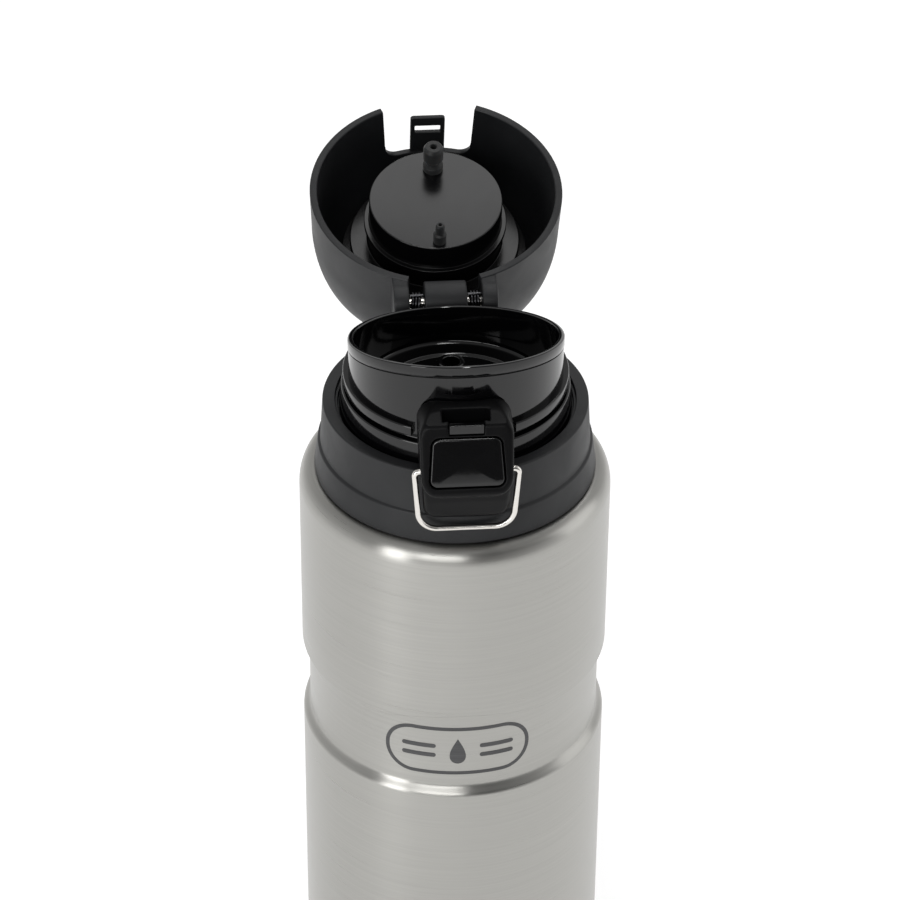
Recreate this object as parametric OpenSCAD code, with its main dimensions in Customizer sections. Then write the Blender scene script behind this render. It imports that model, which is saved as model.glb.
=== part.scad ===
// Vacuum-insulated steel drinking bottle with a screw-on drinking top.
// The hinged lid stands open, about 165 degrees back from closed.
// Origin at the centre of the base, +Z up, the push button faces -Y.
// Heights above the seat of the drinking top are written from that seat.

/* [Steel body] */
// Outside diameter of the steel body
body_d = 80; // [66:0.5:96]
// Height from the base to the seat of the drinking top
body_h = 210; // [170:1:260]
// Thickness of the steel sheet
sheet_t = 0.8; // [0.6:0.05:1]
// Vacuum gap between the outer shell and the inner vessel
vacuum_gap = 3.8; // [3:0.1:5]
// How far the shoulder runs in from the body to the drinking top
shoulder_run = 3.9; // [2:0.1:5]
// Height of the rounded shoulder
shoulder_drop = 5.4; // [3:0.1:9]
// Depth of the waist pressed into the body
waist_depth = 1.8; // [1:0.1:2.2]
// Distance from the seat down to the waist
waist_drop = 55; // [30:1:70]
// Height of the waist
waist_h = 21; // [14:1:26]
// Radius of the rolled foot
foot_r = 4; // [3:0.1:6]

/* [Neck and thread] */
// Wall of the drinking top around the neck, thread included
skirt_t = 6.1; // [5:0.1:7]
// Height of the neck above the seat
neck_h = 13; // [11:0.1:15]
// Radial depth of the rolled thread
thread_depth = 0.7; // [0.5:0.05:0.9]
// Lead of the thread
thread_lead = 4; // [3.5:0.1:5]
// Turns of thread on the neck
thread_turns = 1.5; // [1:0.25:1.75]

/* [Collar] */
// Height of the lower band of the collar
band_h = 8; // [6:0.1:9]
// Height of the collar above the seat
collar_h = 20.2; // [18:0.1:24]
// How far the collar draws in from its base to its top
collar_draw = 2.3; // [1.6:0.1:3]
// Thickness of the silicone ring between collar and neck
gasket_t = 1.5; // [1:0.1:2]

/* [Lid] */
// Height of the lid above its rim
lid_h = 33; // [27:0.5:40]
// Wall of the lid
lid_wall = 1.9; // [1.6:0.1:2.2]
// Height of the lid's straight wall under the rounded crown
lid_straight_h = 11.6; // [9:0.1:14]
// How far the rounded crown runs in
crown_run = 10; // [8:0.5:12]
// Angle that the lid opens through
lid_open = 165; // [120:1:168]
// Height of the front notch in the lid
notch_h = 17.5; // [16:0.1:18.5]

/* [Lid plug] */
// Diameter of the moulded plug under the lid
plug_d = 35.6; // [28:0.1:38]
// How far the plug's face lies above the lid's rim
plug_recess = 3.9; // [3:0.1:5]
// Wall of the moulded plug
plug_wall = 1.6; // [1.2:0.1:2]
// Diameter of the silicone pin that closes the drinking hole
drink_pin_d = 5.4; // [4.4:0.1:6]
// Diameter of the silicone pin that closes the air vent
vent_pin_d = 3.5; // [3:0.1:4]

/* [Spout] */
// Height of the spout's rear lip above the seat
spout_rear_h = 29.8; // [28:0.1:34]
// Wall of the spout
spout_wall = 1.55; // [1.2:0.05:2]
// Thickness of the spout's floor
spout_floor_t = 1.8; // [1.4:0.1:2.4]
// Gap between the spout's front lip and the closed lid's ceiling
roof_gap = 3.8; // [3:0.1:6]

/* [Hinge] */
// Distance from the lid's wall out to the hinge axis
hinge_out = 2.6; // [2.2:0.1:3]
// Height of the hinge axis above the lid's rim
hinge_up = 4.4; // [4:0.1:6]
// Diameter of the hinge pin
hinge_pin_d = 2.5; // [2:0.1:3]
// Radius of the collar's knuckle
knuckle_r = 5.6; // [4.6:0.1:5.8]
// Width of the collar's knuckle
knuckle_w = 11; // [8:0.5:14]
// Width of each spring gap beside the knuckle
spring_gap = 4; // [3.6:0.1:5]
// Width of each lid ear
ear_w = 4.1; // [3:0.1:6]

/* [Button] */
// Width of the button housing
housing_w = 23.6; // [22:0.1:28]
// Width of the push button at its lower edge
button_w = 18.6; // [17:0.1:18.8]
// Height of the push button along its sloping face
button_h = 12.4; // [11:0.1:12.6]
// Travel of the push button
button_travel = 1.2; // [0.9:0.05:1.2]
// Width of the lid's latch tab
tab_w = 9.4; // [8:0.1:9.6]

/* [Bail] */
// Diameter of the bail wire
wire_d = 1.5; // [1.2:0.1:1.8]
// Length of the bail from its pivots to the bar
bail_len = 17.5; // [17:0.1:19]

/* [Hidden] */
$fn = 96;
eps = 0.01;

// Radial clearance of a pin that turns in its hole
pin_fit = 0.05;
// Clearance between moving plastic parts
part_gap = 0.3;
// Clearance kept by the lid as it swings over the spout
swing_gap = 0.3;

// Radii that follow from the body, from the outside in
body_r = body_d / 2;
band_r = body_r - shoulder_run;
collar_r = band_r - collar_draw;
lid_r = collar_r - 0.2;
neck_r = band_r - skirt_t;
bore_r = neck_r + thread_depth + part_gap;
vessel_r = body_r - sheet_t - vacuum_gap;
mouth_r = neck_r - sheet_t - 1.2;
thread_z = 3;

// Inside the foot: base plate, its seal, and the inner vessel's base
plate_r = body_r - foot_r - 2;
plate_z = 2.5;
seal_hole_r = 1.5;
vessel_z = 8;
vessel_corner_r = 12;

// Heights above the seat
seat_gap = 0.3;
mouth_z = neck_h + sheet_t;
deck_z = mouth_z + gasket_t;
deck_t = 2.2;
floor_z = deck_z + deck_t;
cup_z = floor_z + spout_floor_t;
ledge_z = collar_h - 1.2;
lid_z = collar_h + 0.2;
lid_top_z = lid_z + lid_h;
lid_roof_t = 2;
crown_z = lid_z + lid_straight_h;
crown_rise = lid_top_z - crown_z;
lid_taper = 0.04;
crown_r = lid_r - lid_taper * lid_straight_h;

// Hinge axis
hinge_y = lid_r + hinge_out;
hinge_z = lid_z + hinge_up;
ear_x = knuckle_w / 2 + spring_gap;
pin_len = 2 * (ear_x + ear_w);
ear_r = 5.1;

// Spout, sized so that its front lip stays clear of the swinging lid
spout_front_h = lid_top_z - lid_roof_t - roof_gap;
lid_in_r = lid_r - lid_taper * hinge_up - lid_wall;
lip_sweep = lid_in_r + hinge_y - swing_gap;
spout_r = sqrt(pow(lip_sweep, 2) - pow(spout_front_h - hinge_z, 2)) - hinge_y;
spout_in_r = spout_r - spout_wall;
lip_slope = (spout_front_h - spout_rear_h) / (2 * spout_r);
lip_mid_h = (spout_front_h + spout_rear_h) / 2;
lip_band_h = 3;
lip_band_t = 0.15;
ring_r = spout_r + 2.4;
groove_r = ring_r + 0.9;
ring_top_z = collar_h + 4.8;
rib_z = ring_top_z + 1.2;
rib_h = 2.8;
rib_r = spout_r + 1.3;
spigot_r = spout_in_r - 2.1;

// Latch tab on the lid, in the lid's closed place
tab_t = 1.2;
tab_y = hinge_y - lip_sweep - swing_gap;
tab_front_y = tab_y - tab_t;
tab_z = lid_z + 5.1;
tab_hole_z = tab_z + 3.2;
tab_hole_h = 2.4;
tab_hole_w = 7;
notch_z = lid_z + notch_h;

// Button housing, from the latch tab outwards
bezel_low_y = tab_y - 9;
bezel_low_z = collar_h - 1.4;
bezel_top_y = tab_y - 3.5;
bezel_top_z = tab_z + 9.5;
housing_top_z = notch_z - 0.1;
housing_toe_z = band_h + 0.3;
slot_rear_y = tab_y + 1.6;
bezel_tilt = atan2(bezel_top_y - bezel_low_y, bezel_top_z - bezel_low_z);
bezel_mid_y = (bezel_low_y + bezel_top_y) / 2;
bezel_mid_z = (bezel_low_z + bezel_top_z) / 2;

// Push button and its spring, in the frame of the sloping bezel
button_top_w = button_w - 1.8;
button_drop = 0.4;
button_proud = 0.3;
button_t = 1.75;
button_back = button_proud - button_t;
pocket_depth = 3;
spring_drop = 2.2;
spring_seat = -5.6;
spring_r = 1.9;
spring_wire = 0.6;

// Latch, a frame around the tab with a nose behind the tab's hole
latch_travel = button_travel * cos(bezel_tilt);
latch_side = tab_w / 2 + 0.3;
latch_arm_t = 0.7;
latch_x = latch_side + latch_arm_t;
nose_tip_y = tab_front_y + 0.27;
latch_rear_y = slot_rear_y + 0.1;
latch_low_z = tab_hole_z - 1.6;
latch_high_z = tab_hole_z + tab_hole_h + 0.5;
strap_y = tab_front_y - latch_travel - 0.1;
pusher_front_y = bezel_low_y + 5.05;
pusher_high_z = bezel_low_z + 10;
block_low_z = bezel_top_z - 1.8;
block_high_z = bezel_top_z + 0.9;
block_w = 8.4;

// Bail pivots
bail_y = bezel_low_y + 4.15;
bail_z = bezel_low_z + 4.6;
bail_x = housing_w / 2 + 0.25 + wire_d / 2;
bail_in_x = housing_w / 2 - 1.7;
bail_corner_r = 5;
bail_elbow_r = 1.2;
bail_lean = 4;
bail_drop = bail_len - bail_corner_r - bail_elbow_r;
bail_bend = bail_corner_r - bail_elbow_r;
bail_taper = (bail_drop * sin(bail_lean) + bail_bend) / cos(bail_lean) - bail_bend;
bail_bar_x = bail_x - bail_taper - bail_corner_r;

// Pins under the lid plug and the holes that they close
drink_y = -11.5;
vent_y = 15;
drink_hole_r = drink_pin_d / 2 + 0.7;
vent_hole_r = 2.2;
vent_boss_r = 3.6;
vent_boss_z = cup_z + 1.4;
plug_z = lid_z + plug_recess;
plug_r = plug_d / 2;
plug_roof_z = lid_top_z - lid_roof_t;
plug_flange_z = plug_z + 7.7;
plug_ledge_z = plug_roof_z - 7.4;
plug_step_z = (plug_flange_z + plug_ledge_z) / 2 + 1;
plug_ledge_r = min(spout_in_r - 0.5, crown_r - crown_run + 2);
plug_step_r = (plug_r + plug_ledge_r) / 2 + 1.4;

// Points of an arc in the plane
function arc(cx, cy, rx, ry, from, to, n) =
    [for (i = [0 : n]) let (a = from + (to - from) * i / n) [cx + rx * cos(a), cy + ry * sin(a)]];

// Points of a soft step from radius r0 at height z0 to radius r1 at height z1
function soft_step(r0, z0, r1, z1, n) =
    [for (i = [0 : n]) [r0 + (r1 - r0) * (1 - cos(180 * i / n)) / 2, z0 + (z1 - z0) * i / n]];

// Outline of the steel body from the foot to the top of the neck, set in by t
function body_outline(t) = concat(
    [[body_r - foot_r - 2, t]],
    arc(body_r - foot_r, foot_r, foot_r - t, foot_r - t, -90, 0, 8),
    soft_step(body_r - t, body_h - waist_drop - waist_h - 3.4,
              body_r - waist_depth - t, body_h - waist_drop - waist_h, 8),
    soft_step(body_r - waist_depth - t, body_h - waist_drop - 0.6,
              body_r - t, body_h - waist_drop + 0.8, 6),
    arc(band_r - t, body_h - shoulder_drop, shoulder_run, shoulder_drop - t, 0, 90, 10),
    [[neck_r - t, body_h - t], [neck_r - t, body_h + neck_h]]);

// Outline of the inner vessel from the centre of its base to its mouth, set in by t
function vessel_outline(t) = concat(
    [[0, vessel_z + t]],
    arc(vessel_r - vessel_corner_r, vessel_z + vessel_corner_r,
        vessel_corner_r - t, vessel_corner_r - t, -90, 0, 10),
    arc(vessel_r - 6, body_h - shoulder_drop - 6, 6 - t, 6 - t, 0, 60, 6),
    [[mouth_r + 1 - t, body_h - 1.5], [mouth_r - t, body_h + 1], [mouth_r - t, body_h + mouth_z]]);

// Outline of the lid in its closed place, set in by side and top
function lid_outline(side, top) = concat(
    [[lid_r - side, lid_z], [crown_r - side, crown_z]],
    arc(crown_r - crown_run, crown_z, crown_run - side, crown_rise - top, 4, 90, 18),
    [[0, lid_top_z - top]]);

// Rings of points along a helix about Z, joined by swept()
function helix_ring(profile, start_z, lead, turn, fade) =
    [for (p = profile) let (r = profile[0][0] + (p[0] - profile[0][0]) * fade)
        [r * cos(360 * turn), r * sin(360 * turn), start_z + lead * turn + p[1]]];

// Closed solid through a row of rings that all have m points
module swept(rings) {
    m = len(rings[0]);
    n = len(rings);
    points = [for (ring = rings) each ring];
    sides = [for (i = [0 : n - 2], j = [0 : m - 1])
        let (a = i * m + j, b = i * m + (j + 1) % m)
        each [[a, b, b + m], [a, b + m, a + m]]];
    start_cap = [[for (j = [m - 1 : -1 : 0]) j]];
    end_cap = [[for (j = [0 : m - 1]) (n - 1) * m + j]];
    polyhedron(points, concat(start_cap, sides, end_cap));
}

// Thread ridge, rising from the root radius to the crest radius
module thread_ridge(root_r, crest_r, start_z) {
    steps = ceil(36 * thread_turns);
    profile = crest_r > root_r
        ? [[root_r, -0.8], [crest_r, -0.35], [crest_r, 0.35], [root_r, 0.8]]
        : [[root_r, 0.8], [crest_r, 0.35], [crest_r, -0.35], [root_r, -0.8]];
    swept([for (i = [0 : steps])
        helix_ring(profile, start_z, thread_lead, thread_turns * i / steps,
                   min(1, 0.15 + i / 4, 0.15 + (steps - i) / 4))]);
}

// Coil spring about Z from z0 to z1, turns wound at the mean radius
module coil(mean_r, wire, z0, z1, turns) {
    steps = ceil(14 * turns);
    profile = [for (k = [0 : 7]) [mean_r + wire / 2 * cos(45 * k), wire / 2 * sin(45 * k)]];
    rings = [for (i = [0 : steps]) let (turn = turns * i / steps)
        [for (p = profile) [p[0] * cos(360 * turn), p[0] * sin(360 * turn),
            z0 + wire / 2 + (z1 - z0 - wire) * i / steps + p[1]]]];
    swept(rings);
}

// Places its children on the seat of the drinking top
module on_seat() {
    translate([0, 0, body_h]) children();
}

// Turns its children from the lid's closed place to its open one
module lid_opened() {
    on_seat() translate([0, hinge_y, hinge_z]) rotate([-lid_open, 0, 0])
        translate([0, -hinge_y, -hinge_z]) children();
}

// Puts its children in the frame of the sloping bezel: X across, Y up the slope, Z outwards
module in_bezel() {
    on_seat() translate([0, bezel_mid_y, bezel_mid_z]) rotate([90 - bezel_tilt, 0, 0]) children();
}

// Extrudes a side outline of [y, z] points across the middle plane
module across(width) {
    translate([-width / 2, 0, 0]) rotate([90, 0, 90]) linear_extrude(width) children();
}

// Box between two corners
module box(low, high) {
    translate(low) cube(high - low);
}

// Trapezium with rounded corners, centred on the origin
module rounded_trapezium(low_w, high_w, h, r) {
    lean = (low_w - high_w) / 2 / h;
    low_x = low_w / 2 - r - lean * r;
    high_x = high_w / 2 - r + lean * r;
    polygon(concat(
        arc(high_x, h / 2 - r, r, r, 0, 90, 8),
        arc(-high_x, h / 2 - r, r, r, 90, 180, 8),
        arc(-low_x, -h / 2 + r, r, r, 180, 270, 8),
        arc(low_x, -h / 2 + r, r, r, 270, 360, 8)));
}

module outer_shell() {
    color("#b9b7b3") {
        rotate_extrude() polygon(concat(body_outline(0), [for (i = [len(body_outline(0)) - 1 : -1 : 0])
            body_outline(sheet_t)[i]]));
        on_seat() thread_ridge(neck_r - 0.3, neck_r + thread_depth, thread_z);
    }
}

module inner_vessel() {
    outside = vessel_outline(0);
    inside = vessel_outline(sheet_t);
    last = len(outside) - 1;
    color("#c4c3c0") {
        rotate_extrude() polygon(concat(outside, [for (i = [last : -1 : 0]) inside[i]]));
        on_seat() translate([0, 0, neck_h]) difference() {
            cylinder(h = sheet_t, r = neck_r);
            translate([0, 0, -1]) cylinder(h = sheet_t + 2, r = mouth_r - sheet_t / 2);
        }
    }
}

module base_plate() {
    color("#aeadaa") rotate_extrude() polygon([
        [seal_hole_r, plate_z], [plate_r - sheet_t, plate_z], [plate_r - sheet_t, 0.2],
        [plate_r, 0.2], [plate_r, plate_z + sheet_t], [seal_hole_r, plate_z + sheet_t]]);
}

module getter() {
    color("#8d8a86") translate([0, 0, vessel_z - 1.6]) cylinder(h = 1.6, r = 8);
}

module vacuum_seal() {
    color("#9a9ea2") {
        translate([0, 0, plate_z]) cylinder(h = sheet_t, r = seal_hole_r);
        translate([0, 0, plate_z - 0.8]) cylinder(h = 0.8, r1 = 2.4, r2 = 4);
    }
}

module collar() {
    color("#26282a") difference() {
        union() {
            on_seat() rotate_extrude() polygon([
                [bore_r, seat_gap], [band_r - 0.3, seat_gap], [band_r, seat_gap + 0.4],
                [band_r - 1, band_h - 0.5], [band_r - 1.2, band_h], [collar_r + 0.7, band_h + 0.3],
                [collar_r, collar_h - 0.6], [collar_r - 0.2, collar_h - 0.15],
                [collar_r - 0.5, collar_h], [groove_r, collar_h], [groove_r, ledge_z],
                [ring_r + 0.3, ledge_z], [ring_r + 0.3, floor_z], [spigot_r + 0.3, floor_z],
                [spigot_r + 0.3, deck_z], [bore_r, deck_z]]);
            on_seat() thread_ridge(bore_r + 0.3, bore_r - thread_depth, thread_z + thread_lead / 2);
            on_seat() translate([0, hinge_y, hinge_z]) rotate([0, 90, 0])
                cylinder(h = knuckle_w, r = knuckle_r, center = true);
            on_seat() difference() {
                across(knuckle_w) polygon([
                    [groove_r, collar_h - 3], [hinge_y - 2.5, collar_h - 8], [hinge_y, collar_h - 5],
                    [hinge_y + knuckle_r - 0.8, hinge_z - 2.6], [hinge_y, hinge_z],
                    [hinge_y - knuckle_r, hinge_z], [groove_r, collar_h]]);
                cylinder(h = hinge_z + 1, r = groove_r);
            }
        }
        on_seat() translate([0, hinge_y, hinge_z]) rotate([0, 90, 0])
            cylinder(h = knuckle_w + 2, r = hinge_pin_d / 2, center = true);
    }
}

module collar_gasket() {
    color("#d9dad8") on_seat() translate([0, 0, mouth_z]) difference() {
        cylinder(h = gasket_t, r = neck_r - 0.4);
        translate([0, 0, -1]) cylinder(h = gasket_t + 2, r = spigot_r + 1);
    }
}

module button_housing() {
    color("#232527") difference() {
        on_seat() intersection() {
            across(housing_w) polygon([
                [bezel_low_y + 4.3, housing_toe_z], [bezel_low_y + 1.2, bezel_low_z - 3.6],
                [bezel_low_y + 0.2, bezel_low_z - 1], [bezel_low_y, bezel_low_z],
                [bezel_top_y, bezel_top_z], [bezel_top_y + 0.6, bezel_top_z + 0.6],
                [tab_y + 2.5, housing_top_z], [tab_y + 6, housing_top_z], [tab_y + 6, housing_toe_z]]);
            translate([0, 0, (housing_top_z + housing_toe_z) / 2]) rotate([90, 0, 0])
                linear_extrude(2 * body_r)
                rounded_trapezium(housing_w - 1.6, housing_w, housing_top_z - housing_toe_z, 4.2);
        }
        // Room for the collar and the spout behind the housing
        on_seat() translate([0, 0, -1])
            cylinder(h = collar_h + 1, r1 = collar_r + 1.35, r2 = collar_r + 0.05);
        on_seat() cylinder(h = ring_top_z + 0.1, r = ring_r + 0.1);
        on_seat() cylinder(h = housing_top_z + 1, r = spout_r + 0.2);
        // Pocket of the push button
        in_bezel() translate([0, -button_drop, -pocket_depth]) linear_extrude(pocket_depth + 2)
            rounded_trapezium(button_w + 0.7, button_top_w + 0.7, button_h + 0.7, 2.2);
        in_bezel() translate([0, -spring_drop, spring_seat]) cylinder(h = -spring_seat, r = spring_r + 0.6);
        // Room for the latch and for the tab that drops into it
        on_seat() box([-latch_x - part_gap, strap_y - 0.95, latch_low_z - 0.4],
                      [latch_x + part_gap, slot_rear_y, block_low_z + 1.4]);
        on_seat() box([-latch_x - part_gap, slot_rear_y - eps, latch_low_z - 0.4],
                      [latch_x + part_gap, latch_rear_y + latch_travel + 0.2, latch_high_z + 0.4]);
        on_seat() box([-latch_x - 0.2, tab_front_y - 0.7, block_low_z], [latch_x + 0.2, slot_rear_y, 60]);
        on_seat() box([-block_w / 2 - 0.2, bezel_low_y, block_low_z - 0.2],
                      [block_w / 2 + 0.2, tab_front_y - 0.6, 60]);
        on_seat() box([-tab_w / 2 - 0.4, tab_front_y - 0.5, tab_z - 0.5],
                      [tab_w / 2 + 0.4, tab_y + 0.5, latch_low_z]);
        // Holes for the two ends of the bail
        on_seat() for (side = [-1, 1]) translate([side * (bail_in_x - 0.1), bail_y, bail_z])
            rotate([0, side * 90, 0]) cylinder(h = 4, r = wire_d / 2 + pin_fit);
    }
}

module push_button() {
    color("#101214") {
        in_bezel() translate([0, -button_drop, button_back]) linear_extrude(button_t)
            rounded_trapezium(button_w, button_top_w, button_h, 1.9);
        in_bezel() translate([0, -spring_drop, button_back - 0.9]) cylinder(h = 0.9 + eps, r = 1.2);
    }
}

module button_spring() {
    color("#c9c9c7") in_bezel() translate([0, -spring_drop, 0])
        coil(spring_r, spring_wire, spring_seat + 0.05, button_back - 0.05, 4.5);
}

module latch() {
    color("#1b1d1f") on_seat() {
        for (side = [-1, 1]) translate([side * (latch_side + latch_arm_t / 2), 0, 0])
            across(latch_arm_t) polygon([
                [pusher_front_y, latch_low_z], [pusher_front_y, pusher_high_z],
                [strap_y - 0.55, latch_high_z], [strap_y - 0.75, block_low_z + 0.2],
                [strap_y - 0.75, block_low_z + 1.2], [strap_y + 0.5, block_low_z + 1.2],
                [strap_y + 0.5, latch_high_z], [latch_rear_y, latch_high_z],
                [latch_rear_y, latch_low_z]]);
        box([-latch_side - eps, pusher_front_y, latch_low_z],
            [latch_side + eps, strap_y, pusher_high_z - 0.2]);
        box([-latch_side - eps, strap_y - 0.75, block_low_z + 0.2],
            [latch_side + eps, strap_y, block_low_z + 1.2]);
        box([-block_w / 2, bezel_top_y - 0.4, block_low_z + 0.2],
            [block_w / 2, strap_y, block_high_z]);
        box([-latch_side - eps, latch_rear_y - 0.9, latch_low_z],
            [latch_side + eps, latch_rear_y, latch_high_z]);
        box([-tab_hole_w / 2 + part_gap, nose_tip_y, tab_hole_z + 0.25],
            [tab_hole_w / 2 - part_gap, latch_rear_y, tab_hole_z + tab_hole_h - 0.25]);
    }
}

// Ring of the bail's wire at a point [x, z, heading] of its centreline
function wire_ring(p) = [for (k = [0 : 15]) let (across_r = wire_d / 2 * cos(22.5 * k))
    [p[0] - across_r * sin(p[2]), wire_d / 2 * sin(22.5 * k), p[1] + across_r * cos(p[2])]];

// One stretch of bend of the bail's centreline, as points [x, z, heading]
function wire_bend(cx, cz, r, from, to, n) =
    [for (i = [0 : n]) let (a = from + (to - from) * i / n) [cx + r * cos(a), cz + r * sin(a), a - 90]];

module bail() {
    right = concat([[bail_x - bail_elbow_r - 0.6, 0, 0]],
        wire_bend(bail_x - bail_elbow_r, -bail_elbow_r, bail_elbow_r, 90, -bail_lean, 6),
        wire_bend(bail_bar_x, bail_corner_r - bail_len, bail_corner_r, -bail_lean, -90, 8));
    left = [for (i = [len(right) - 1 : -1 : 0]) [-right[i][0], right[i][1], -360 - right[i][2]]];
    color("#d8d6d2") on_seat() translate([0, bail_y, bail_z]) {
        swept([for (p = concat(right, left)) wire_ring(p)]);
        for (side = [-1, 1]) translate([side * bail_in_x, 0, 0]) rotate([0, side * 90, 0])
            cylinder(h = bail_x - bail_elbow_r - 0.1 - bail_in_x, r = wire_d / 2 + 0.02);
    }
}

// Half space under the sloping plane of the spout's lip, lowered by drop
module under_lip(drop) {
    size = 4 * body_r;
    translate([0, 0, lip_mid_h - drop]) rotate([-atan(lip_slope), 0, 0])
        translate([-size / 2, -size / 2, -size]) cube([size, size, size]);
}

module spout() {
    color("#0d0f11") on_seat() difference() {
        union() {
            intersection() {
                cylinder(h = 2 * lid_top_z, r = spout_r);
                difference() {
                    under_lip(0);
                    under_lip(lip_band_h);
                }
            }
            intersection() {
                translate([0, 0, floor_z]) cylinder(h = 2 * lid_top_z, r = spout_r - lip_band_t);
                under_lip(lip_band_h - eps);
            }
            translate([0, 0, floor_z]) cylinder(h = ring_top_z - floor_z, r1 = ring_r, r2 = ring_r - 0.7);
            difference() {
                translate([0, 0, rib_z]) cylinder(h = rib_h, r = rib_r);
                translate([-housing_w / 2 - 1.2, -body_r, 0]) cube([housing_w + 2.4, body_r, lid_top_z]);
            }
            translate([0, 0, deck_z - 0.8]) cylinder(h = floor_z - deck_z + 0.8 + eps, r = spigot_r);
        }
        // Cup, with a shallow round step in its floor
        translate([0, 0, cup_z]) cylinder(h = lid_top_z, r = spout_in_r);
        translate([0, 0, cup_z - 0.5]) cylinder(h = 1, r = spout_in_r - 5.5);
        translate([0, 0, deck_z - 1.8]) cylinder(h = floor_z - deck_z + 1.8, r = spigot_r - 1.6);
        // Groove of the sealing ring
        translate([0, 0, deck_z + 0.2]) difference() {
            cylinder(h = 1.6, r = spigot_r + 1);
            cylinder(h = 1.6, r = spigot_r - 1.2);
        }
        translate([0, drink_y, 0]) cylinder(h = lid_top_z, r = drink_hole_r);
        translate([0, vent_y, 0]) cylinder(h = lid_top_z, r = vent_hole_r);
    }
    color("#0d0f11") on_seat() translate([0, vent_y, floor_z]) difference() {
        cylinder(h = vent_boss_z - floor_z, r = vent_boss_r);
        translate([0, 0, -1]) cylinder(h = 6, r = vent_hole_r);
    }
}

module spout_gasket() {
    color("#d9dad8") on_seat() translate([0, 0, deck_z + 1]) rotate_extrude()
        translate([spigot_r - 0.45, 0]) circle(r = 0.7, $fn = 32);
}

module lid_shell() {
    inside = lid_outline(lid_wall, lid_roof_t);
    notch_w = housing_w + 2.6;
    color("#292b2d") lid_opened() {
        difference() {
            union() {
                rotate_extrude() polygon(concat(lid_outline(0, 0), [for (i = [len(inside) - 1 : -1 : 0])
                    inside[i]]));
                for (side = [-1, 1]) translate([side * (ear_x + ear_w / 2), 0, 0]) difference() {
                    union() {
                        translate([0, hinge_y, hinge_z]) rotate([0, 90, 0])
                            cylinder(h = ear_w, r = ear_r, center = true);
                        across(ear_w) polygon([
                            [hinge_y - 8, lid_z + 0.4], [hinge_y - 2.6, lid_z + 0.4],
                            [hinge_y, hinge_z], [hinge_y + 1.4, hinge_z + 4.6],
                            [hinge_y - 3, hinge_z + 9], [hinge_y - 8, hinge_z + 9]]);
                    }
                    translate([-side * (ear_x + ear_w / 2), 0, lid_z - 2])
                        cylinder(h = lid_h, r = lid_r - lid_wall);
                }
            }
            // Front notch for the button housing
            translate([0, 0, lid_z + notch_h / 2 - 5]) rotate([90, 0, 0]) linear_extrude(2 * body_r)
                rounded_trapezium(notch_w, notch_w - 1.4, notch_h + 10, 4);
            // Rear gap for the knuckle and the springs
            box([-ear_x, 0, lid_z - 1], [ear_x, hinge_y + 9, hinge_z + 7.4]);
            translate([0, hinge_y, hinge_z]) rotate([0, 90, 0])
                cylinder(h = pin_len - 1.6, r = hinge_pin_d / 2 + pin_fit, center = true);
        }
        // Latch tab with its window
        intersection() {
            difference() {
                box([-tab_w / 2, tab_front_y, tab_z], [tab_w / 2, tab_y, notch_z + 1.6]);
                box([-tab_hole_w / 2, tab_front_y - 1, tab_hole_z],
                    [tab_hole_w / 2, tab_y + 1, tab_hole_z + tab_hole_h]);
            }
            rotate_extrude() polygon(concat([[0, lid_z]], lid_outline(0, 0)));
        }
    }
}

module lid_plug() {
    inner_r = plug_r - plug_wall;
    step_in_r = plug_step_r - 2 - plug_wall;
    ledge_in_r = plug_ledge_r - 1.2 - plug_wall;
    color("#0f1113") lid_opened() difference() {
        rotate_extrude() polygon([
            [0, plug_z], [plug_r - 0.4, plug_z], [plug_r, plug_z + 0.4], [plug_r, plug_flange_z],
            [plug_r + 1.3, plug_flange_z], [plug_r + 1.3, plug_flange_z + 1.2],
            [plug_r + 0.3, plug_flange_z + 1.6], [plug_r + 0.3, plug_step_z],
            [plug_step_r, plug_step_z], [plug_step_r, plug_step_z + 1.6],
            [plug_step_r - 1.2, plug_step_z + 2], [plug_step_r - 1.2, plug_ledge_z],
            [plug_ledge_r, plug_ledge_z], [plug_ledge_r, plug_ledge_z + 1.6],
            [plug_ledge_r - 1.2, plug_ledge_z + 2], [plug_ledge_r - 1.2, plug_roof_z],
            [ledge_in_r, plug_roof_z], [ledge_in_r, plug_ledge_z + plug_wall],
            [step_in_r + 0.4, plug_ledge_z + plug_wall], [step_in_r + 0.4, plug_step_z + plug_wall],
            [inner_r, plug_step_z + plug_wall], [inner_r, plug_z + 1.8], [0, plug_z + 1.8]]);
        translate([0, drink_y, plug_z - 1]) cylinder(h = 4, r = 1.6);
        translate([0, vent_y, plug_z - 1]) cylinder(h = 4, r = 0.9);
    }
}

module drink_hole_pin() {
    r = drink_pin_d / 2;
    tip_z = plug_z - 8.3;
    color("#17191b") lid_opened() translate([0, drink_y, 0]) rotate_extrude() polygon([
        [0, tip_z + 5], [0.9, tip_z + 5], [0.9, tip_z], [r - 0.5, tip_z], [r, tip_z + 1],
        [r, tip_z + 4.4], [r - 0.8, tip_z + 4.9], [r - 0.8, tip_z + 6.2], [r, tip_z + 6.6],
        [r, plug_z], [1.6, plug_z], [1.6, plug_z + 1.8], [2.6, plug_z + 1.8], [1.7, plug_z + 3.4],
        [0, plug_z + 3.4]]);
}

module vent_pin() {
    r = vent_pin_d / 2;
    tip_z = plug_z - 6.3;
    color("#17191b") lid_opened() translate([0, vent_y, 0]) rotate_extrude() polygon([
        [0, tip_z + 3], [0.5, tip_z + 3], [0.5, tip_z], [r - 0.8, tip_z], [r - 0.55, tip_z + 0.5],
        [r - 0.55, tip_z + 3.1], [r, tip_z + 3.5], [r, plug_z], [0.9, plug_z],
        [0.9, plug_z + 1.8], [1.1, plug_z + 1.8], [0.8, plug_z + 3], [0, plug_z + 3]]);
}

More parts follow.
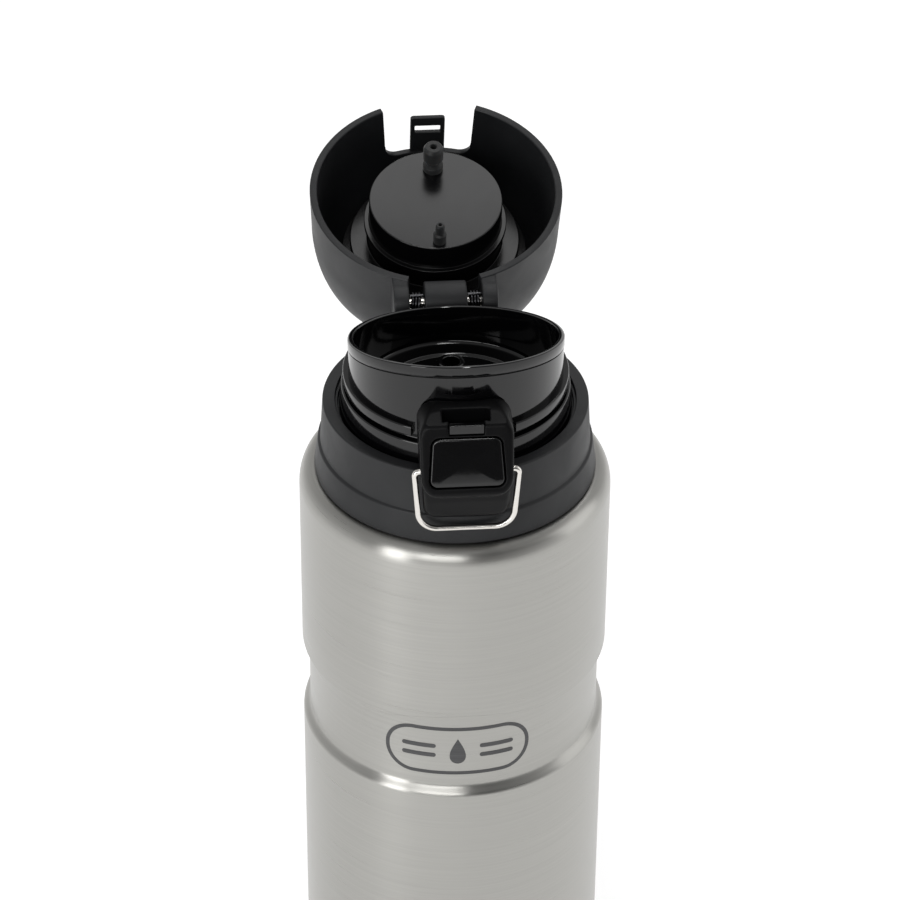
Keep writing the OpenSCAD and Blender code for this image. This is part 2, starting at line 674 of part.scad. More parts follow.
module hinge_pin() {
    color("#cfcfcd") on_seat() translate([0, hinge_y, hinge_z]) rotate([0, 90, 0])
        cylinder(h = pin_len - 2, r = hinge_pin_d / 2, center = true);
}

// One torsion spring beside the knuckle, side is -1 or 1
module hinge_spring(side) {
    wire = 0.85;
    near = knuckle_w / 2 + 0.25;
    far = ear_x - 0.25;
    color("#c9c9c7") on_seat() translate([0, hinge_y, hinge_z]) mirror([side < 0 ? 1 : 0, 0, 0])
        rotate([0, 90, 0]) coil(hinge_pin_d / 2 + 0.3 + wire / 2 + 0.6, wire, near, far, 3.2);
}

module hinge_spring_left() {
    hinge_spring(-1);
}

module hinge_spring_right() {
    hinge_spring(1);
}

outer_shell();
inner_vessel();
base_plate();
getter();
vacuum_seal();
collar();
collar_gasket();
button_housing();
push_button();
button_spring();
latch();
bail();
spout();
spout_gasket();
lid_shell();
lid_plug();
drink_hole_pin();
vent_pin();
hinge_pin();
hinge_spring_left();
hinge_spring_right();
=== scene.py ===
import math

import bmesh
import bpy
import numpy as np
from bpy.props import FloatProperty, FloatVectorProperty, PointerProperty
from bpy.types import Operator, Panel, PropertyGroup
from mathutils import Matrix, Vector


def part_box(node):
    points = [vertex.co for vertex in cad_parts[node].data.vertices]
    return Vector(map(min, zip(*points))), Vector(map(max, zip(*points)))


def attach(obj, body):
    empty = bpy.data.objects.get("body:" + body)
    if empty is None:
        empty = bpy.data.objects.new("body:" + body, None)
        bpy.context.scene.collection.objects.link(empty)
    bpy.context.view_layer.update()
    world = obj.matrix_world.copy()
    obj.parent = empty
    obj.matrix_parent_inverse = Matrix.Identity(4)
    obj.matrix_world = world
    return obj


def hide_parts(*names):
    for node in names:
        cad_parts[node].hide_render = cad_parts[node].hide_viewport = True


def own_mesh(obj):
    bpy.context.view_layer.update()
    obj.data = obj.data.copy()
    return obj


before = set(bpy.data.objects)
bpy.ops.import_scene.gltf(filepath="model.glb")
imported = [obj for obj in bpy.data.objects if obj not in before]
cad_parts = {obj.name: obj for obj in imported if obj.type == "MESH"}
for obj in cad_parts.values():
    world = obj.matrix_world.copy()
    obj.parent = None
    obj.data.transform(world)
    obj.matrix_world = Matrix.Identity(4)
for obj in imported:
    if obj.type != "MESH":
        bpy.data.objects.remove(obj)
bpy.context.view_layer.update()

bl_info = {
    "name": "Vacuum drinking bottle",
    "version": (1, 0, 0),
    "blender": (4, 5, 0),
    "location": "View3D > Sidebar > Bottle",
    "description": "Brushed steel drinking bottle with a hinged drinking top, piece by piece",
    "category": "Add Mesh",
}

MM = 0.001

# Sizes in millimetres. Heights in the drinking top are written from its seat.
SEAT = 210.0
BODY_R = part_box("outer_shell")[1].x / MM
SHEET = 0.8
NECK_R = 30.0
MOUTH_R = 28.0
WAIST_R = BODY_R - 1.8
WAIST_LOW = 134.0
WAIST_HIGH = 154.4
LID_R = 33.6
LID_Z = 20.4
LID_TOP = 53.4
CROWN_Z = 32.0
CROWN_R = LID_R - 0.464
CROWN_RUN = 10.0
LID_WALL = 1.9
LID_ROOF = 2.0
LID_OPEN = math.radians(165)
HINGE_Y = 36.2
HINGE_Z = 24.8
EAR_X = 9.5
EAR_W = 4.1
KNUCKLE_R = 5.6
KNUCKLE_W = 11.0
HOUSING_W = 23.6
SPOUT_R = 27.25
SPOUT_IN_R = 25.7
LIP_MID = 38.7
LIP_SLOPE = 0.3266
CUP_Z = 19.3
BEZEL_TILT = math.radians(18.753)
BEZEL_Y = -37.77
BEZEL_Z = 26.9
BAIL_X = 12.8
BAIL_Y = -36.374
BAIL_Z = 23.4
WIRE_R = 0.75
FOOT_R = 4.0
SHOULDER_RUN = 3.9
BAND_R = BODY_R - SHOULDER_RUN
SHOULDER_DROP = 5.4
NECK_H = 13.0
THREAD_LEAD = 4.0
THREAD_TURNS = 1.5
DECK_Z = 17.5
DRINK_Y = -11.5
DRINK_HOLE_R = 3.4
VENT_Y = 15.0
VENT_HOLE_R = 2.2
PIN_R = 1.25
SPRING_Y = -2.2
TAB_Y = -32.12

# Unit vectors of the bottle, then up the sloping bezel and out of its face
ACROSS = np.array([1.0, 0.0, 0.0])
BACK = np.array([0.0, 1.0, 0.0])
UP = np.array([0.0, 0.0, 1.0])
UP_SLOPE = np.array([0.0, math.sin(BEZEL_TILT), math.cos(BEZEL_TILT)])
OUTWARDS = np.array([0.0, -math.cos(BEZEL_TILT), math.sin(BEZEL_TILT)])
BEZEL_CENTRE = np.array([0.0, BEZEL_Y, SEAT + BEZEL_Z])


# Outlines and surfaces

def arc(cx, cy, rx, ry, start, end, steps):
    """Points of an ellipse's arc, from the start angle to the end angle in degrees."""
    a = np.radians(np.linspace(start, end, steps + 1))
    return np.stack([cx + rx * np.cos(a), cy + ry * np.sin(a)], -1)


def soft_step(r0, z0, r1, z1, steps):
    """Half a cosine wave that takes the radius from r0 to r1 while the height goes from z0 to z1."""
    t = np.linspace(0, 1, steps + 1)
    return np.stack([r0 + (r1 - r0) * (1 - np.cos(np.pi * t)) / 2, z0 + (z1 - z0) * t], -1)


def rounded(corners, closed=True, steps=6):
    """Outline through corners (across, up, radius), where a parabola joins the points that lie
    radius times the tangent of half the turn before and after each corner."""
    c = np.array(corners, float)
    if not closed:
        c[[0, -1], 2] = 0
    points, radius = c[:, :2], c[:, 2]
    before, after = np.roll(points, 1, 0) - points, np.roll(points, -1, 0) - points
    len_a, len_b = np.linalg.norm(before, axis=1), np.linalg.norm(after, axis=1)
    before, after = before / len_a[:, None], after / len_b[:, None]
    turn = np.pi - np.arccos(np.clip((before * after).sum(1), -1, 1))
    cut = np.minimum(radius * np.tan(turn / 2), 0.48 * np.minimum(len_a, len_b))[:, None]
    start, end = points + before * cut, points + after * cut
    t = np.linspace(0, 1, steps + 1)[None, :, None]
    curve = (1 - t) ** 2 * start[:, None] + 2 * t * (1 - t) * points[:, None] + t**2 * end[:, None]
    kept = [curve[i] if cut[i, 0] > 1e-6 else points[i:i + 1] for i in range(len(points))]
    return np.concatenate(kept)


def grid(points, wrap_rows=False, wrap_columns=True):
    """A sheet of quads over a block of points, rows by columns, joined end to end where it wraps."""
    rows, columns = points.shape[:2]
    i = np.arange(rows if wrap_rows else rows - 1)[:, None]
    j = np.arange(columns if wrap_columns else columns - 1)[None, :]
    k, m = (i + 1) % rows, (j + 1) % columns
    faces = np.stack([i * columns + j, i * columns + m, k * columns + m, k * columns + j], -1)
    return points.reshape(-1, 3), faces.reshape(-1, 4)


def lathe(outline, turns=192, closed=True):
    """Every outline point (radius, height) carried round the Z axis through equal angles."""
    a = np.linspace(0, 2 * np.pi, turns, endpoint=False)
    r, h = outline[:, 0, None], outline[:, 1, None]
    return grid(np.stack([r * np.sin(a), -r * np.cos(a), h + 0 * a], -1), wrap_rows=closed)


def spun(corners, turns, closed=True):
    """A rounded outline through corners (radius, height, corner radius), carried round the Z axis."""
    return lathe(rounded(corners, closed), turns, closed)


def tube(path, radius, normal, sides):
    """A circle carried along a path, in the plane square to it, with half a ball at each end."""
    path = np.asarray(path, float)
    t = np.gradient(path, axis=0)
    t /= np.linalg.norm(t, axis=1)[:, None]
    a = np.radians([90, 70, 50, 30, 12])[:, None]
    path = np.concatenate([path[0] - radius * np.sin(a) * t[0], path,
                           path[-1] + radius * np.sin(a[::-1]) * t[-1]])
    share = np.concatenate([np.cos(a[:, 0]), np.ones(len(t)), np.cos(a[::-1, 0])])
    t = np.concatenate([np.repeat(t[:1], len(a), 0), t, np.repeat(t[-1:], len(a), 0)])
    n = np.cross(t, normal)
    n /= np.linalg.norm(n, axis=1)[:, None]
    b = np.cross(t, n)
    a = np.linspace(0, 2 * np.pi, sides, endpoint=False)[None, :, None]
    ring = n[:, None] * np.cos(a) + b[:, None] * np.sin(a)
    return grid(path[:, None] + radius * share[:, None, None] * ring)


def inset(outline, by):
    """The outline moved inwards along the average of its two edges' normals at each point."""
    edge = np.roll(outline, -1, 0) - outline
    edge /= np.linalg.norm(edge, axis=1)[:, None]
    mean = edge + np.roll(edge, 1, 0)
    mean /= np.linalg.norm(mean, axis=1)[:, None]
    square = np.stack([-mean[:, 1], mean[:, 0]], -1)
    area = np.sum(outline[:, 0] * np.roll(outline[:, 1], -1) - np.roll(outline[:, 0], -1) * outline[:, 1])
    return outline + square * by * np.sign(area)


def resampled(outline, count):
    """The closed outline at equal steps of its length."""
    loop = np.concatenate([outline, outline[:1]])
    length = np.concatenate([[0], np.cumsum(np.linalg.norm(np.diff(loop, axis=0), axis=1))])
    at = np.linspace(0, length[-1], count, endpoint=False)
    return np.stack([np.interp(at, length, loop[:, 0]), np.interp(at, length, loop[:, 1])], -1)


def slab(outline, low, high, fillet, centre, dome=0.0, rings=6):
    """A plate between two heights: rings that shrink to a centre, whose height rises by the dome
    as one less the square of their share, and a quarter circle over every edge.
    Gives the points as (across, up, out) and the faces."""
    a = np.radians([90, 67.5, 45, 22.5, 0])
    core = inset(outline, fillet)
    rows = []
    for s in np.linspace(0, 1, rings, endpoint=False):
        rows.append((centre + (core - centre) * s, high + dome * (1 - s * s)))
    for q in a:
        rows.append((inset(outline, fillet * (1 - math.cos(q))), high - fillet * (1 - math.sin(q))))
    for q in a[::-1]:
        rows.append((inset(outline, fillet * (1 - math.cos(q))), low + fillet * (1 - math.sin(q))))
    for s in np.linspace(1, 0, rings + 1)[1:]:
        rows.append((centre + (core - centre) * s, low))
    points = np.stack([np.column_stack([p, np.full(len(p), h)]) for p, h in rows])
    return grid(points)


def window_frame(outer, inner, low, high, fillet):
    """A plate with a window: the section's corners, each at its own share between the outer and
    the inner outline, carried round both outlines together."""
    rows = [(inset(outer, fillet), high), (outer, high - fillet), (outer, low + fillet),
            (inset(outer, fillet), low), (inset(inner, -fillet), low), (inner, low + fillet),
            (inner, high - fillet), (inset(inner, -fillet), high)]
    points = np.stack([np.column_stack([p, np.full(len(p), h)]) for p, h in rows])
    return grid(points, wrap_rows=True)


def stood(part, origin, across, up, out):
    """A plate's (across, up, out) points put into the object's frame."""
    p, faces = part
    return np.asarray(origin) + p[:, :1] * across + p[:, 1:2] * up + p[:, 2:3] * out, faces


def rounded_block(low_w, high_w, h, r, steps=8):
    """Trapezium about the origin with a quarter circle at each corner, anticlockwise."""
    lean = (low_w - high_w) / 2 / h
    low_x, high_x = low_w / 2 - r - lean * r, high_w / 2 - r + lean * r
    return np.concatenate([
        arc(high_x, h / 2 - r, r, r, 0, 90, steps), arc(-high_x, h / 2 - r, r, r, 90, 180, steps),
        arc(-low_x, -h / 2 + r, r, r, 180, 270, steps), arc(low_x, -h / 2 + r, r, r, 270, 360, steps)])


def helix(radius, z0, z1, turns, steps, phase=0.0):
    """Points at a fixed radius whose height grows with the angle."""
    t = np.linspace(0, 1, steps + 1)
    a = phase + 2 * np.pi * turns * t
    return np.stack([radius * np.cos(a), radius * np.sin(a), z0 + (z1 - z0) * t], -1)


def thread_ridge(root_r, crest_r, start_z):
    """A rounded ridge section carried along a helix, whose height over the root grows from nothing
    and dies away over the last eighth of a turn at each end."""
    t = np.linspace(0, 1, int(96 * THREAD_TURNS))
    fade = np.clip(np.minimum(t, 1 - t) * THREAD_TURNS * 8, 0.02, 1)[:, None]
    rise = (crest_r - root_r) * np.array([-0.3, 0.0, 0.55, 0.9, 1.0, 0.9, 0.55, 0.0, -0.3])
    width = np.array([-0.85, -0.8, -0.6, -0.35, 0.0, 0.35, 0.6, 0.8, 0.85])
    r = root_r + rise * fade
    a = 2 * np.pi * THREAD_TURNS * t[:, None]
    z = start_z + THREAD_LEAD * THREAD_TURNS * t[:, None] + width
    rings = np.stack([r * np.cos(a), r * np.sin(a), z], -1)
    closed = np.concatenate([np.repeat(rings[:1].mean(1, keepdims=True), rings.shape[1], 1), rings,
                             np.repeat(rings[-1:].mean(1, keepdims=True), rings.shape[1], 1)])
    return grid(closed)


def moved(part, by):
    """The part carried by an offset."""
    return part[0] + np.array(by), part[1]


def on_seat(part):
    """The part lifted to the seat of the drinking top."""
    return moved(part, (0, 0, SEAT))


def upright(outline, low, high, centre):
    """A plate with a 0.45 mm fillet whose outline is (y, height), between two places across."""
    return stood(slab(outline, low, high, 0.45, np.array(centre)), (0, 0, 0), BACK, UP, ACROSS)


def lid_opened(part):
    """The part turned back about the hinge axis from the lid's closed place to its open one."""
    p, faces = part
    c, s = math.cos(LID_OPEN), math.sin(LID_OPEN)
    y, z = p[:, 1] - HINGE_Y, p[:, 2] - HINGE_Z
    return np.column_stack([p[:, 0], y * c + z * s + HINGE_Y, -y * s + z * c + HINGE_Z + SEAT]), faces


def to_mesh(name, parts):
    """One mesh from several closed parts in millimetres: doubles at poles and seams are merged,
    then the normals are turned outwards."""
    start, points, faces = 0, [], []
    for p, f in parts:
        points.append(p)
        faces.extend((np.asarray(f) + start).tolist())
        start += len(p)
    mesh = bpy.data.meshes.new(name)
    mesh.from_pydata(np.concatenate(points) * MM, [], faces)
    work = bmesh.new()
    work.from_mesh(mesh)
    bmesh.ops.remove_doubles(work, verts=work.verts, dist=1e-7)
    bmesh.ops.dissolve_degenerate(work, edges=work.edges, dist=1e-8)
    bmesh.ops.recalc_face_normals(work, faces=work.faces)
    work.to_mesh(mesh)
    work.free()
    return mesh


def boolean(mesh, tools, operation="DIFFERENCE"):
    """The mesh after each closed tool mesh is taken from it, or kept in common with it."""
    for tool in tools:
        body = bpy.data.objects.new("work", mesh)
        cutter = bpy.data.objects.new("tool", tool)
        for o in (body, cutter):
            bpy.context.scene.collection.objects.link(o)
        change = body.modifiers.new("cut", "BOOLEAN")
        change.operation, change.solver, change.object = operation, "EXACT", cutter
        graph = bpy.context.evaluated_depsgraph_get()
        mesh = bpy.data.meshes.new_from_object(body.evaluated_get(graph))
        bpy.data.objects.remove(body)
        bpy.data.objects.remove(cutter)
    return mesh


def moulded_soft(mesh, voxel, rounds):
    """The mesh resampled on a fine block grid and relaxed, so every edge gets a moulder's radius."""
    body = bpy.data.objects.new("work", mesh)
    bpy.context.scene.collection.objects.link(body)
    resample = body.modifiers.new("resample", "REMESH")
    resample.mode, resample.voxel_size = "VOXEL", voxel * MM
    relax = body.modifiers.new("relax", "SMOOTH")
    relax.factor, relax.iterations = 0.5, rounds
    graph = bpy.context.evaluated_depsgraph_get()
    soft = bpy.data.meshes.new_from_object(body.evaluated_get(graph))
    bpy.data.objects.remove(body)
    return soft


def joined(name, meshes):
    """Several meshes as one, with their materials' indices kept."""
    work = bmesh.new()
    for mesh in meshes:
        work.from_mesh(mesh)
    whole = bpy.data.meshes.new(name)
    work.to_mesh(whole)
    work.free()
    return whole


def merged_copy(name):
    """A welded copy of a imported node's mesh."""
    work = bmesh.new()
    work.from_mesh(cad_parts[name].data)
    bmesh.ops.remove_doubles(work, verts=work.verts, dist=2e-6)
    mesh = bpy.data.meshes.new(f"{name}_merged")
    work.to_mesh(mesh)
    work.free()
    return mesh


def piece(name, made_of, materials, body, nodes=(), sharp=40):
    """Puts a finished mesh, or a list of closed parts, in the scene as a smooth-shaded piece that
    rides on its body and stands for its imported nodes. Edges that turn more than the sharp angle
    stay crisp."""
    mesh = to_mesh(name, made_of) if isinstance(made_of, list) else made_of
    mesh.materials.clear()
    for material in materials:
        mesh.materials.append(material)
    mesh.shade_smooth()
    mesh.set_sharp_from_angle(angle=math.radians(sharp))
    made = bpy.data.objects.new(name, mesh)
    bpy.context.scene.collection.objects.link(made)
    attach(made, body)
    if nodes:
        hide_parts(*nodes)
    return made


# Materials

def linear(code):
    """sRGB hex to the linear RGB that shaders use."""
    s = np.array([int(code[i:i + 2], 16) / 255 for i in (1, 3, 5)])
    return tuple(np.where(s <= 0.04045, s / 12.92, ((s + 0.055) / 1.055) ** 2.4).tolist())


def fill(node, inputs):
    """Sets or links a node's inputs. A node given as a value stands for its first output in use."""
    for key, value in inputs.items():
        if isinstance(value, bpy.types.Node):
            value = next(output for output in value.outputs if output.enabled)
        if isinstance(value, bpy.types.NodeSocket):
            node.id_data.links.new(value, node.inputs[key])
        else:
            node.inputs[key].default_value = value


def add_node(tree, kind, inputs=None, **settings):
    """Adds one shader node, gives it its settings, and fills or links its inputs."""
    made = tree.nodes.new("ShaderNode" + kind)
    for key, value in settings.items():
        setattr(made, key, value)
    fill(made, inputs or {})
    return made


def new_material(name):
    """An empty material, its tree, its Principled shader and its object coordinates. A material
    that is there already comes back with None for the rest."""
    made = bpy.data.materials.get(name)
    if made:
        return made, None, None, None
    made = bpy.data.materials.new(name)
    made.use_nodes = True
    tree = made.node_tree
    tree.nodes.clear()
    shader = add_node(tree, "BsdfPrincipled")
    add_node(tree, "OutputMaterial", {"Surface": shader})
    return made, tree, shader, add_node(tree, "TexCoord").outputs["Object"]


def shade(colour, factor):
    """The colour times a factor, with full alpha."""
    return tuple(min(1.0, c * factor) for c in colour[:3]) + (1.0,)


def brushed_steel():
    """304 stainless steel, belt brushed round the body: fine level lines that stretch highlights
    up and down the body, and slow cloudy changes where the belt pressed harder."""
    made, tree, shader, place = new_material("steel_304_belt_brushed")
    if not tree:
        return made
    s = bpy.context.scene.bottle_steel
    # Lines one spacing high and about 40 mm long, drawn slightly coarser than real grit marks
    lines_at = add_node(tree, "Mapping", {"Vector": place, "Scale": (25.0, 25.0, 1.0 / s.line_spacing)})
    lines = add_node(tree, "TexNoise", {
        "Vector": lines_at, "Scale": 1.0, "Detail": 3.0, "Roughness": 0.65})
    # Longer and wider strokes, a few millimetres high
    strokes_at = add_node(tree, "Mapping", {"Vector": place, "Scale": (16.0, 16.0, 1100.0)})
    strokes = add_node(tree, "TexNoise", {
        "Vector": strokes_at, "Scale": 1.0, "Detail": 4.0, "Roughness": 0.6})
    both = add_node(tree, "Mix", {"Factor": 0.35, "A": lines, "B": strokes})
    tint = add_node(tree, "MapRange", {
        "Value": both, "From Min": 0.3, "From Max": 0.7,
        "To Min": 1.0 - s.line_contrast, "To Max": 1.0 + s.line_contrast})
    colour = add_node(tree, "VectorMath", {
        0: tuple(s.colour), "Scale": tint}, operation="SCALE")
    rough = add_node(tree, "MapRange", {
        "Value": both, "From Min": 0.3, "From Max": 0.7,
        "To Min": 0.26, "To Max": 0.36})
    bump = add_node(tree, "Bump", {"Height": lines, "Strength": 0.35, "Distance": s.line_depth})
    tangent = add_node(tree, "Tangent", direction_type="RADIAL", axis="Z")
    fill(shader, {
        "Base Color": colour, "Metallic": 1.0, "Roughness": rough,
        "Anisotropic": 0.75, "Anisotropic Rotation": 0.25, "Tangent": tangent,
        "Normal": bump})
    return made


def drawn_steel():
    """Inside steel, deep drawn and electropolished: soft bright metal with faint drawing rings."""
    made, tree, shader, place = new_material("steel_304_electropolished")
    if not tree:
        return made
    rings_at = add_node(tree, "Mapping", {"Vector": place, "Scale": (12.0, 12.0, 900.0)})
    rings = add_node(tree, "TexNoise", {"Vector": rings_at, "Scale": 1.0, "Detail": 3.0})
    rough = add_node(tree, "MapRange", {"Value": rings, "To Min": 0.16, "To Max": 0.34})
    bump = add_node(tree, "Bump", {"Height": rings, "Strength": 0.2, "Distance": 0.00002})
    fill(shader, {
        "Base Color": linear("#C6C5C2") + (1.0,), "Metallic": 1.0,
        "Roughness": rough, "Normal": bump})
    return made


def moulded_black(name, colour, roughness, spread, grain, depth, ior=1.49):
    """Black thermoplastic from the mould: a spark-eroded or polished skin of the given grain, a
    faint cloudy change of gloss where the melt flowed, and a painted highlight that lightens the convex
    edges."""
    made, tree, shader, place = new_material(name)
    if not tree:
        return made
    skin = add_node(tree, "TexNoise", {
        "Vector": place, "Scale": 1.0 / grain, "Detail": 2.5, "Roughness": 0.6})
    flow = add_node(tree, "TexNoise", {
        "Vector": place, "Scale": 90.0, "Detail": 3.0, "Distortion": 0.6})
    rough = add_node(tree, "MapRange", {
        "Value": flow, "From Min": 0.3, "From Max": 0.7,
        "To Min": roughness - spread, "To Max": roughness + spread})
    # Painted highlight: convex edges, picked out by pointiness, get up to 1.55 times the base colour
    shape = add_node(tree, "NewGeometry")
    edge = add_node(tree, "MapRange", {
        "Value": shape.outputs["Pointiness"], "From Min": 0.53, "From Max": 0.62,
        "To Min": 0.0, "To Max": 0.5})
    painted_edge_highlight = add_node(tree, "Mix", {
        "Factor": edge, "A": shade(colour, 1.0), "B": shade(colour, 2.1)},
        data_type="RGBA")
    bump = add_node(tree, "Bump", {"Height": skin, "Strength": 0.6, "Distance": depth})
    fill(shader, {
        "Base Color": painted_edge_highlight, "Roughness": rough,
        "IOR": ior, "Normal": bump})
    return made


def textured_black():
    """Polypropylene from a spark-eroded mould: an even, slightly pebbled matt skin."""
    p = bpy.context.scene.bottle_plastic
    return moulded_black("polypropylene_spark_textured", p.textured_colour, 0.5, 0.05, p.grain, 0.00006, 1.42)


def satin_black():
    """Polypropylene from a stoned mould: a quiet satin with soft highlights."""
    p = bpy.context.scene.bottle_plastic
    return moulded_black("polypropylene_satin_moulded", p.satin_colour, 0.36, 0.05, p.grain, 0.00001, 1.2)


def fine_satin_black():
    """Polypropylene from a lapped mould: the plug's level face shines evenly and blurs what it shows."""
    p = bpy.context.scene.bottle_plastic
    return moulded_black("polypropylene_lapped_moulded", p.gloss_colour, 0.24, 0.02, 0.0006, 0.000004)


def gloss_black():
    """Polypropylene from a mirror-polished mould: wet black with sharp reflections."""
    p = bpy.context.scene.bottle_plastic
    return moulded_black("polypropylene_mirror_moulded", p.gloss_colour, 0.09, 0.03, 0.004, 0.00002)


def silicone(name, colour, clear):
    """Compression-moulded silicone rubber: soft sheen, light carried a little way inside."""
    made, tree, shader, place = new_material(name)
    if not tree:
        return made
    dust = add_node(tree, "TexNoise", {"Vector": place, "Scale": 1400.0, "Detail": 2.0})
    rough = add_node(tree, "MapRange", {"Value": dust, "To Min": 0.36, "To Max": 0.56})
    bump = add_node(tree, "Bump", {"Height": dust, "Strength": 0.3, "Distance": 0.00002})
    fill(shader, {
        "Base Color": linear(colour) + (1.0,), "Roughness": rough, "IOR": 1.41,
        "Subsurface Weight": 0.4 if clear else 0.05, "Subsurface Scale": 0.002,
        "Sheen Weight": 0.15, "Normal": bump})
    return made


def drawn_wire(name, colour, roughness):
    """Drawn stainless wire: die lines too fine to see, drawn as faint mottling of the gloss."""
    made, tree, shader, place = new_material(name)
    if not tree:
        return made
    marks = add_node(tree, "TexNoise", {"Vector": place, "Scale": 900.0, "Detail": 3.0})
    rough = add_node(tree, "MapRange", {
        "Value": marks, "To Min": roughness * 0.6, "To Max": roughness * 1.4})
    bump = add_node(tree, "Bump", {"Height": marks, "Strength": 0.15, "Distance": 0.00001})
    fill(shader, {
        "Base Color": linear(colour) + (1.0,), "Metallic": 1.0,
        "Roughness": rough, "Normal": bump})
    return made


def etched_mark():
    """Laser-darkened steel: a thin charcoal oxide, duller than the brushed metal round it."""
    made, tree, shader, place = new_material("steel_laser_darkened")
    if not tree:
        return made
    lines_at = add_node(tree, "Mapping", {"Vector": place, "Scale": (60.0, 60.0, 2600.0)})
    lines = add_node(tree, "TexNoise", {"Vector": lines_at, "Scale": 1.0, "Detail": 2.0})
    colour = add_node(tree, "Mix", {
        "Factor": lines, "A": linear("#3A3A3B") + (1.0,), "B": linear("#5A5A5B") + (1.0,)},
        data_type="RGBA")
    fill(shader, {"Base Color": colour, "Metallic": 0.5, "Roughness": 0.5})
    return made


def sintered_getter():
    """Pressed and sintered getter powder: dull grey with coarse grains."""
    return drawn_wire("getter_powder_sintered", "#8D8A86", 0.6)


# Settings

def colour_setting(name, description, code):
    """A colour property whose default is given as sRGB hex."""
    return FloatVectorProperty(name=name, description=description, subtype="COLOR", size=3,
                               min=0, max=1, default=linear(code))


def length_setting(name, description, default, low, high, precision=5):
    """A length property in metres."""
    return FloatProperty(name=name, description=description, unit="LENGTH", subtype="DISTANCE",
                         default=default, min=low, max=high, precision=precision)


class BottleSteelSettings(PropertyGroup):
    """Finish of the steel body."""

    colour: colour_setting("Steel colour", "Colour of the brushed steel", "#A7A6A2")
    line_spacing: length_setting(
        "Brush line spacing", "Height of one brush line", 0.00045, 0.0001, 0.002)
    line_depth: length_setting("Brush line depth", "Depth of the brush lines", 0.00002, 0.0, 0.0002)
    line_contrast: FloatProperty(
        name="Brush line contrast", description="Share by which the lines lighten and darken",
        subtype="FACTOR", default=0.07, min=0.0, max=0.3)
    waist_lift: length_setting(
        "Waist lift", "Rise of the waist's upper edge over the mark", 0.0024, 0.0, 0.004, 4)


class BottlePlasticSettings(PropertyGroup):
    """Finish of the moulded parts."""

    textured_colour: colour_setting("Textured black", "Colour of the lid and the collar", "#151618")
    satin_colour: colour_setting(
        "Satin black", "Colour inside the lid and of the button housing", "#0A0A0B")
    gloss_colour: colour_setting(
        "Gloss black", "Colour of the spout, the plug, the button and the latch", "#050506")
    grain: length_setting(
        "Skin grain", "Width of one pit of the textured skin", 0.00035, 0.0001, 0.001)
    edge: length_setting("Edge radius", "Moulder's radius on the push button", 0.0005, 0.0001, 0.001)


class BottleStageSettings(PropertyGroup):
    """Light and floor."""

    floor_colour: colour_setting("Floor colour", "Colour of the plain floor", "#F7F7F7")
    sky: FloatProperty(
        name="Sky strength", description="Brightness of the even light from above",
        default=0.42, min=0.0, max=5.0)
    key: FloatProperty(
        name="Softbox power", description="Power from which each softbox takes its share",
        unit="POWER", default=6.5, min=0.0, max=500.0)


# Pieces

def body_outline(t):
    """Outline of the steel body from the foot to the top of the neck, set in by t."""
    foot = arc(BODY_R - FOOT_R, FOOT_R, FOOT_R - t, FOOT_R - t, -90, 0, 12)
    straight = np.linspace([BODY_R - t, 20], [BODY_R - t, 118], 8)
    low = soft_step(BODY_R - t, WAIST_LOW - 3.4, WAIST_R - t, WAIST_LOW, 14)
    high = soft_step(WAIST_R - t, WAIST_HIGH, BODY_R - t, WAIST_HIGH + 1.4, 12)
    upper = np.linspace([BODY_R - t, 166], [BODY_R - t, 202], 4)
    shoulder = arc(BAND_R - t, SEAT - SHOULDER_DROP, SHOULDER_RUN, SHOULDER_DROP - t, 0, 90, 16)
    neck = np.array([[NECK_R + 0.5 - t, SEAT - t], [NECK_R - t, SEAT + 0.4 - t], [NECK_R - t, SEAT + NECK_H]])
    return np.concatenate([[[BODY_R - FOOT_R - 2, t]], foot, straight, low, high, upper, shoulder, neck])


class BOTTLE_OT_steel_body(Operator):
    """Adds the brushed outer shell with its rolled thread"""

    bl_idname = "bottle.steel_body"
    bl_label = "Steel body"

    def execute(self, context):
        s = context.scene.bottle_steel
        outline = np.concatenate([body_outline(0), body_outline(SHEET)[::-1]])
        points, faces = lathe(outline, 288)
        # The waist's upper edge rises in a smooth bell over the mark
        across = np.abs(points[:, 0]) / 21.0
        bell = np.where((points[:, 1] < 0) & (across < 1), np.cos(np.clip(across, 0, 1) * np.pi / 2) ** 2, 0)
        near = np.clip(1 - np.abs(points[:, 2] - WAIST_HIGH - 0.7) / 6, 0, 1)
        points[:, 2] += s.waist_lift / MM * np.sqrt(bell) * np.minimum(1, near * 2)
        thread = on_seat(thread_ridge(NECK_R, NECK_R + 0.7, 3))
        piece("outer_shell_brushed", [(points, faces), thread],
              [brushed_steel()], "vessel", ["outer_shell"])
        return {"FINISHED"}


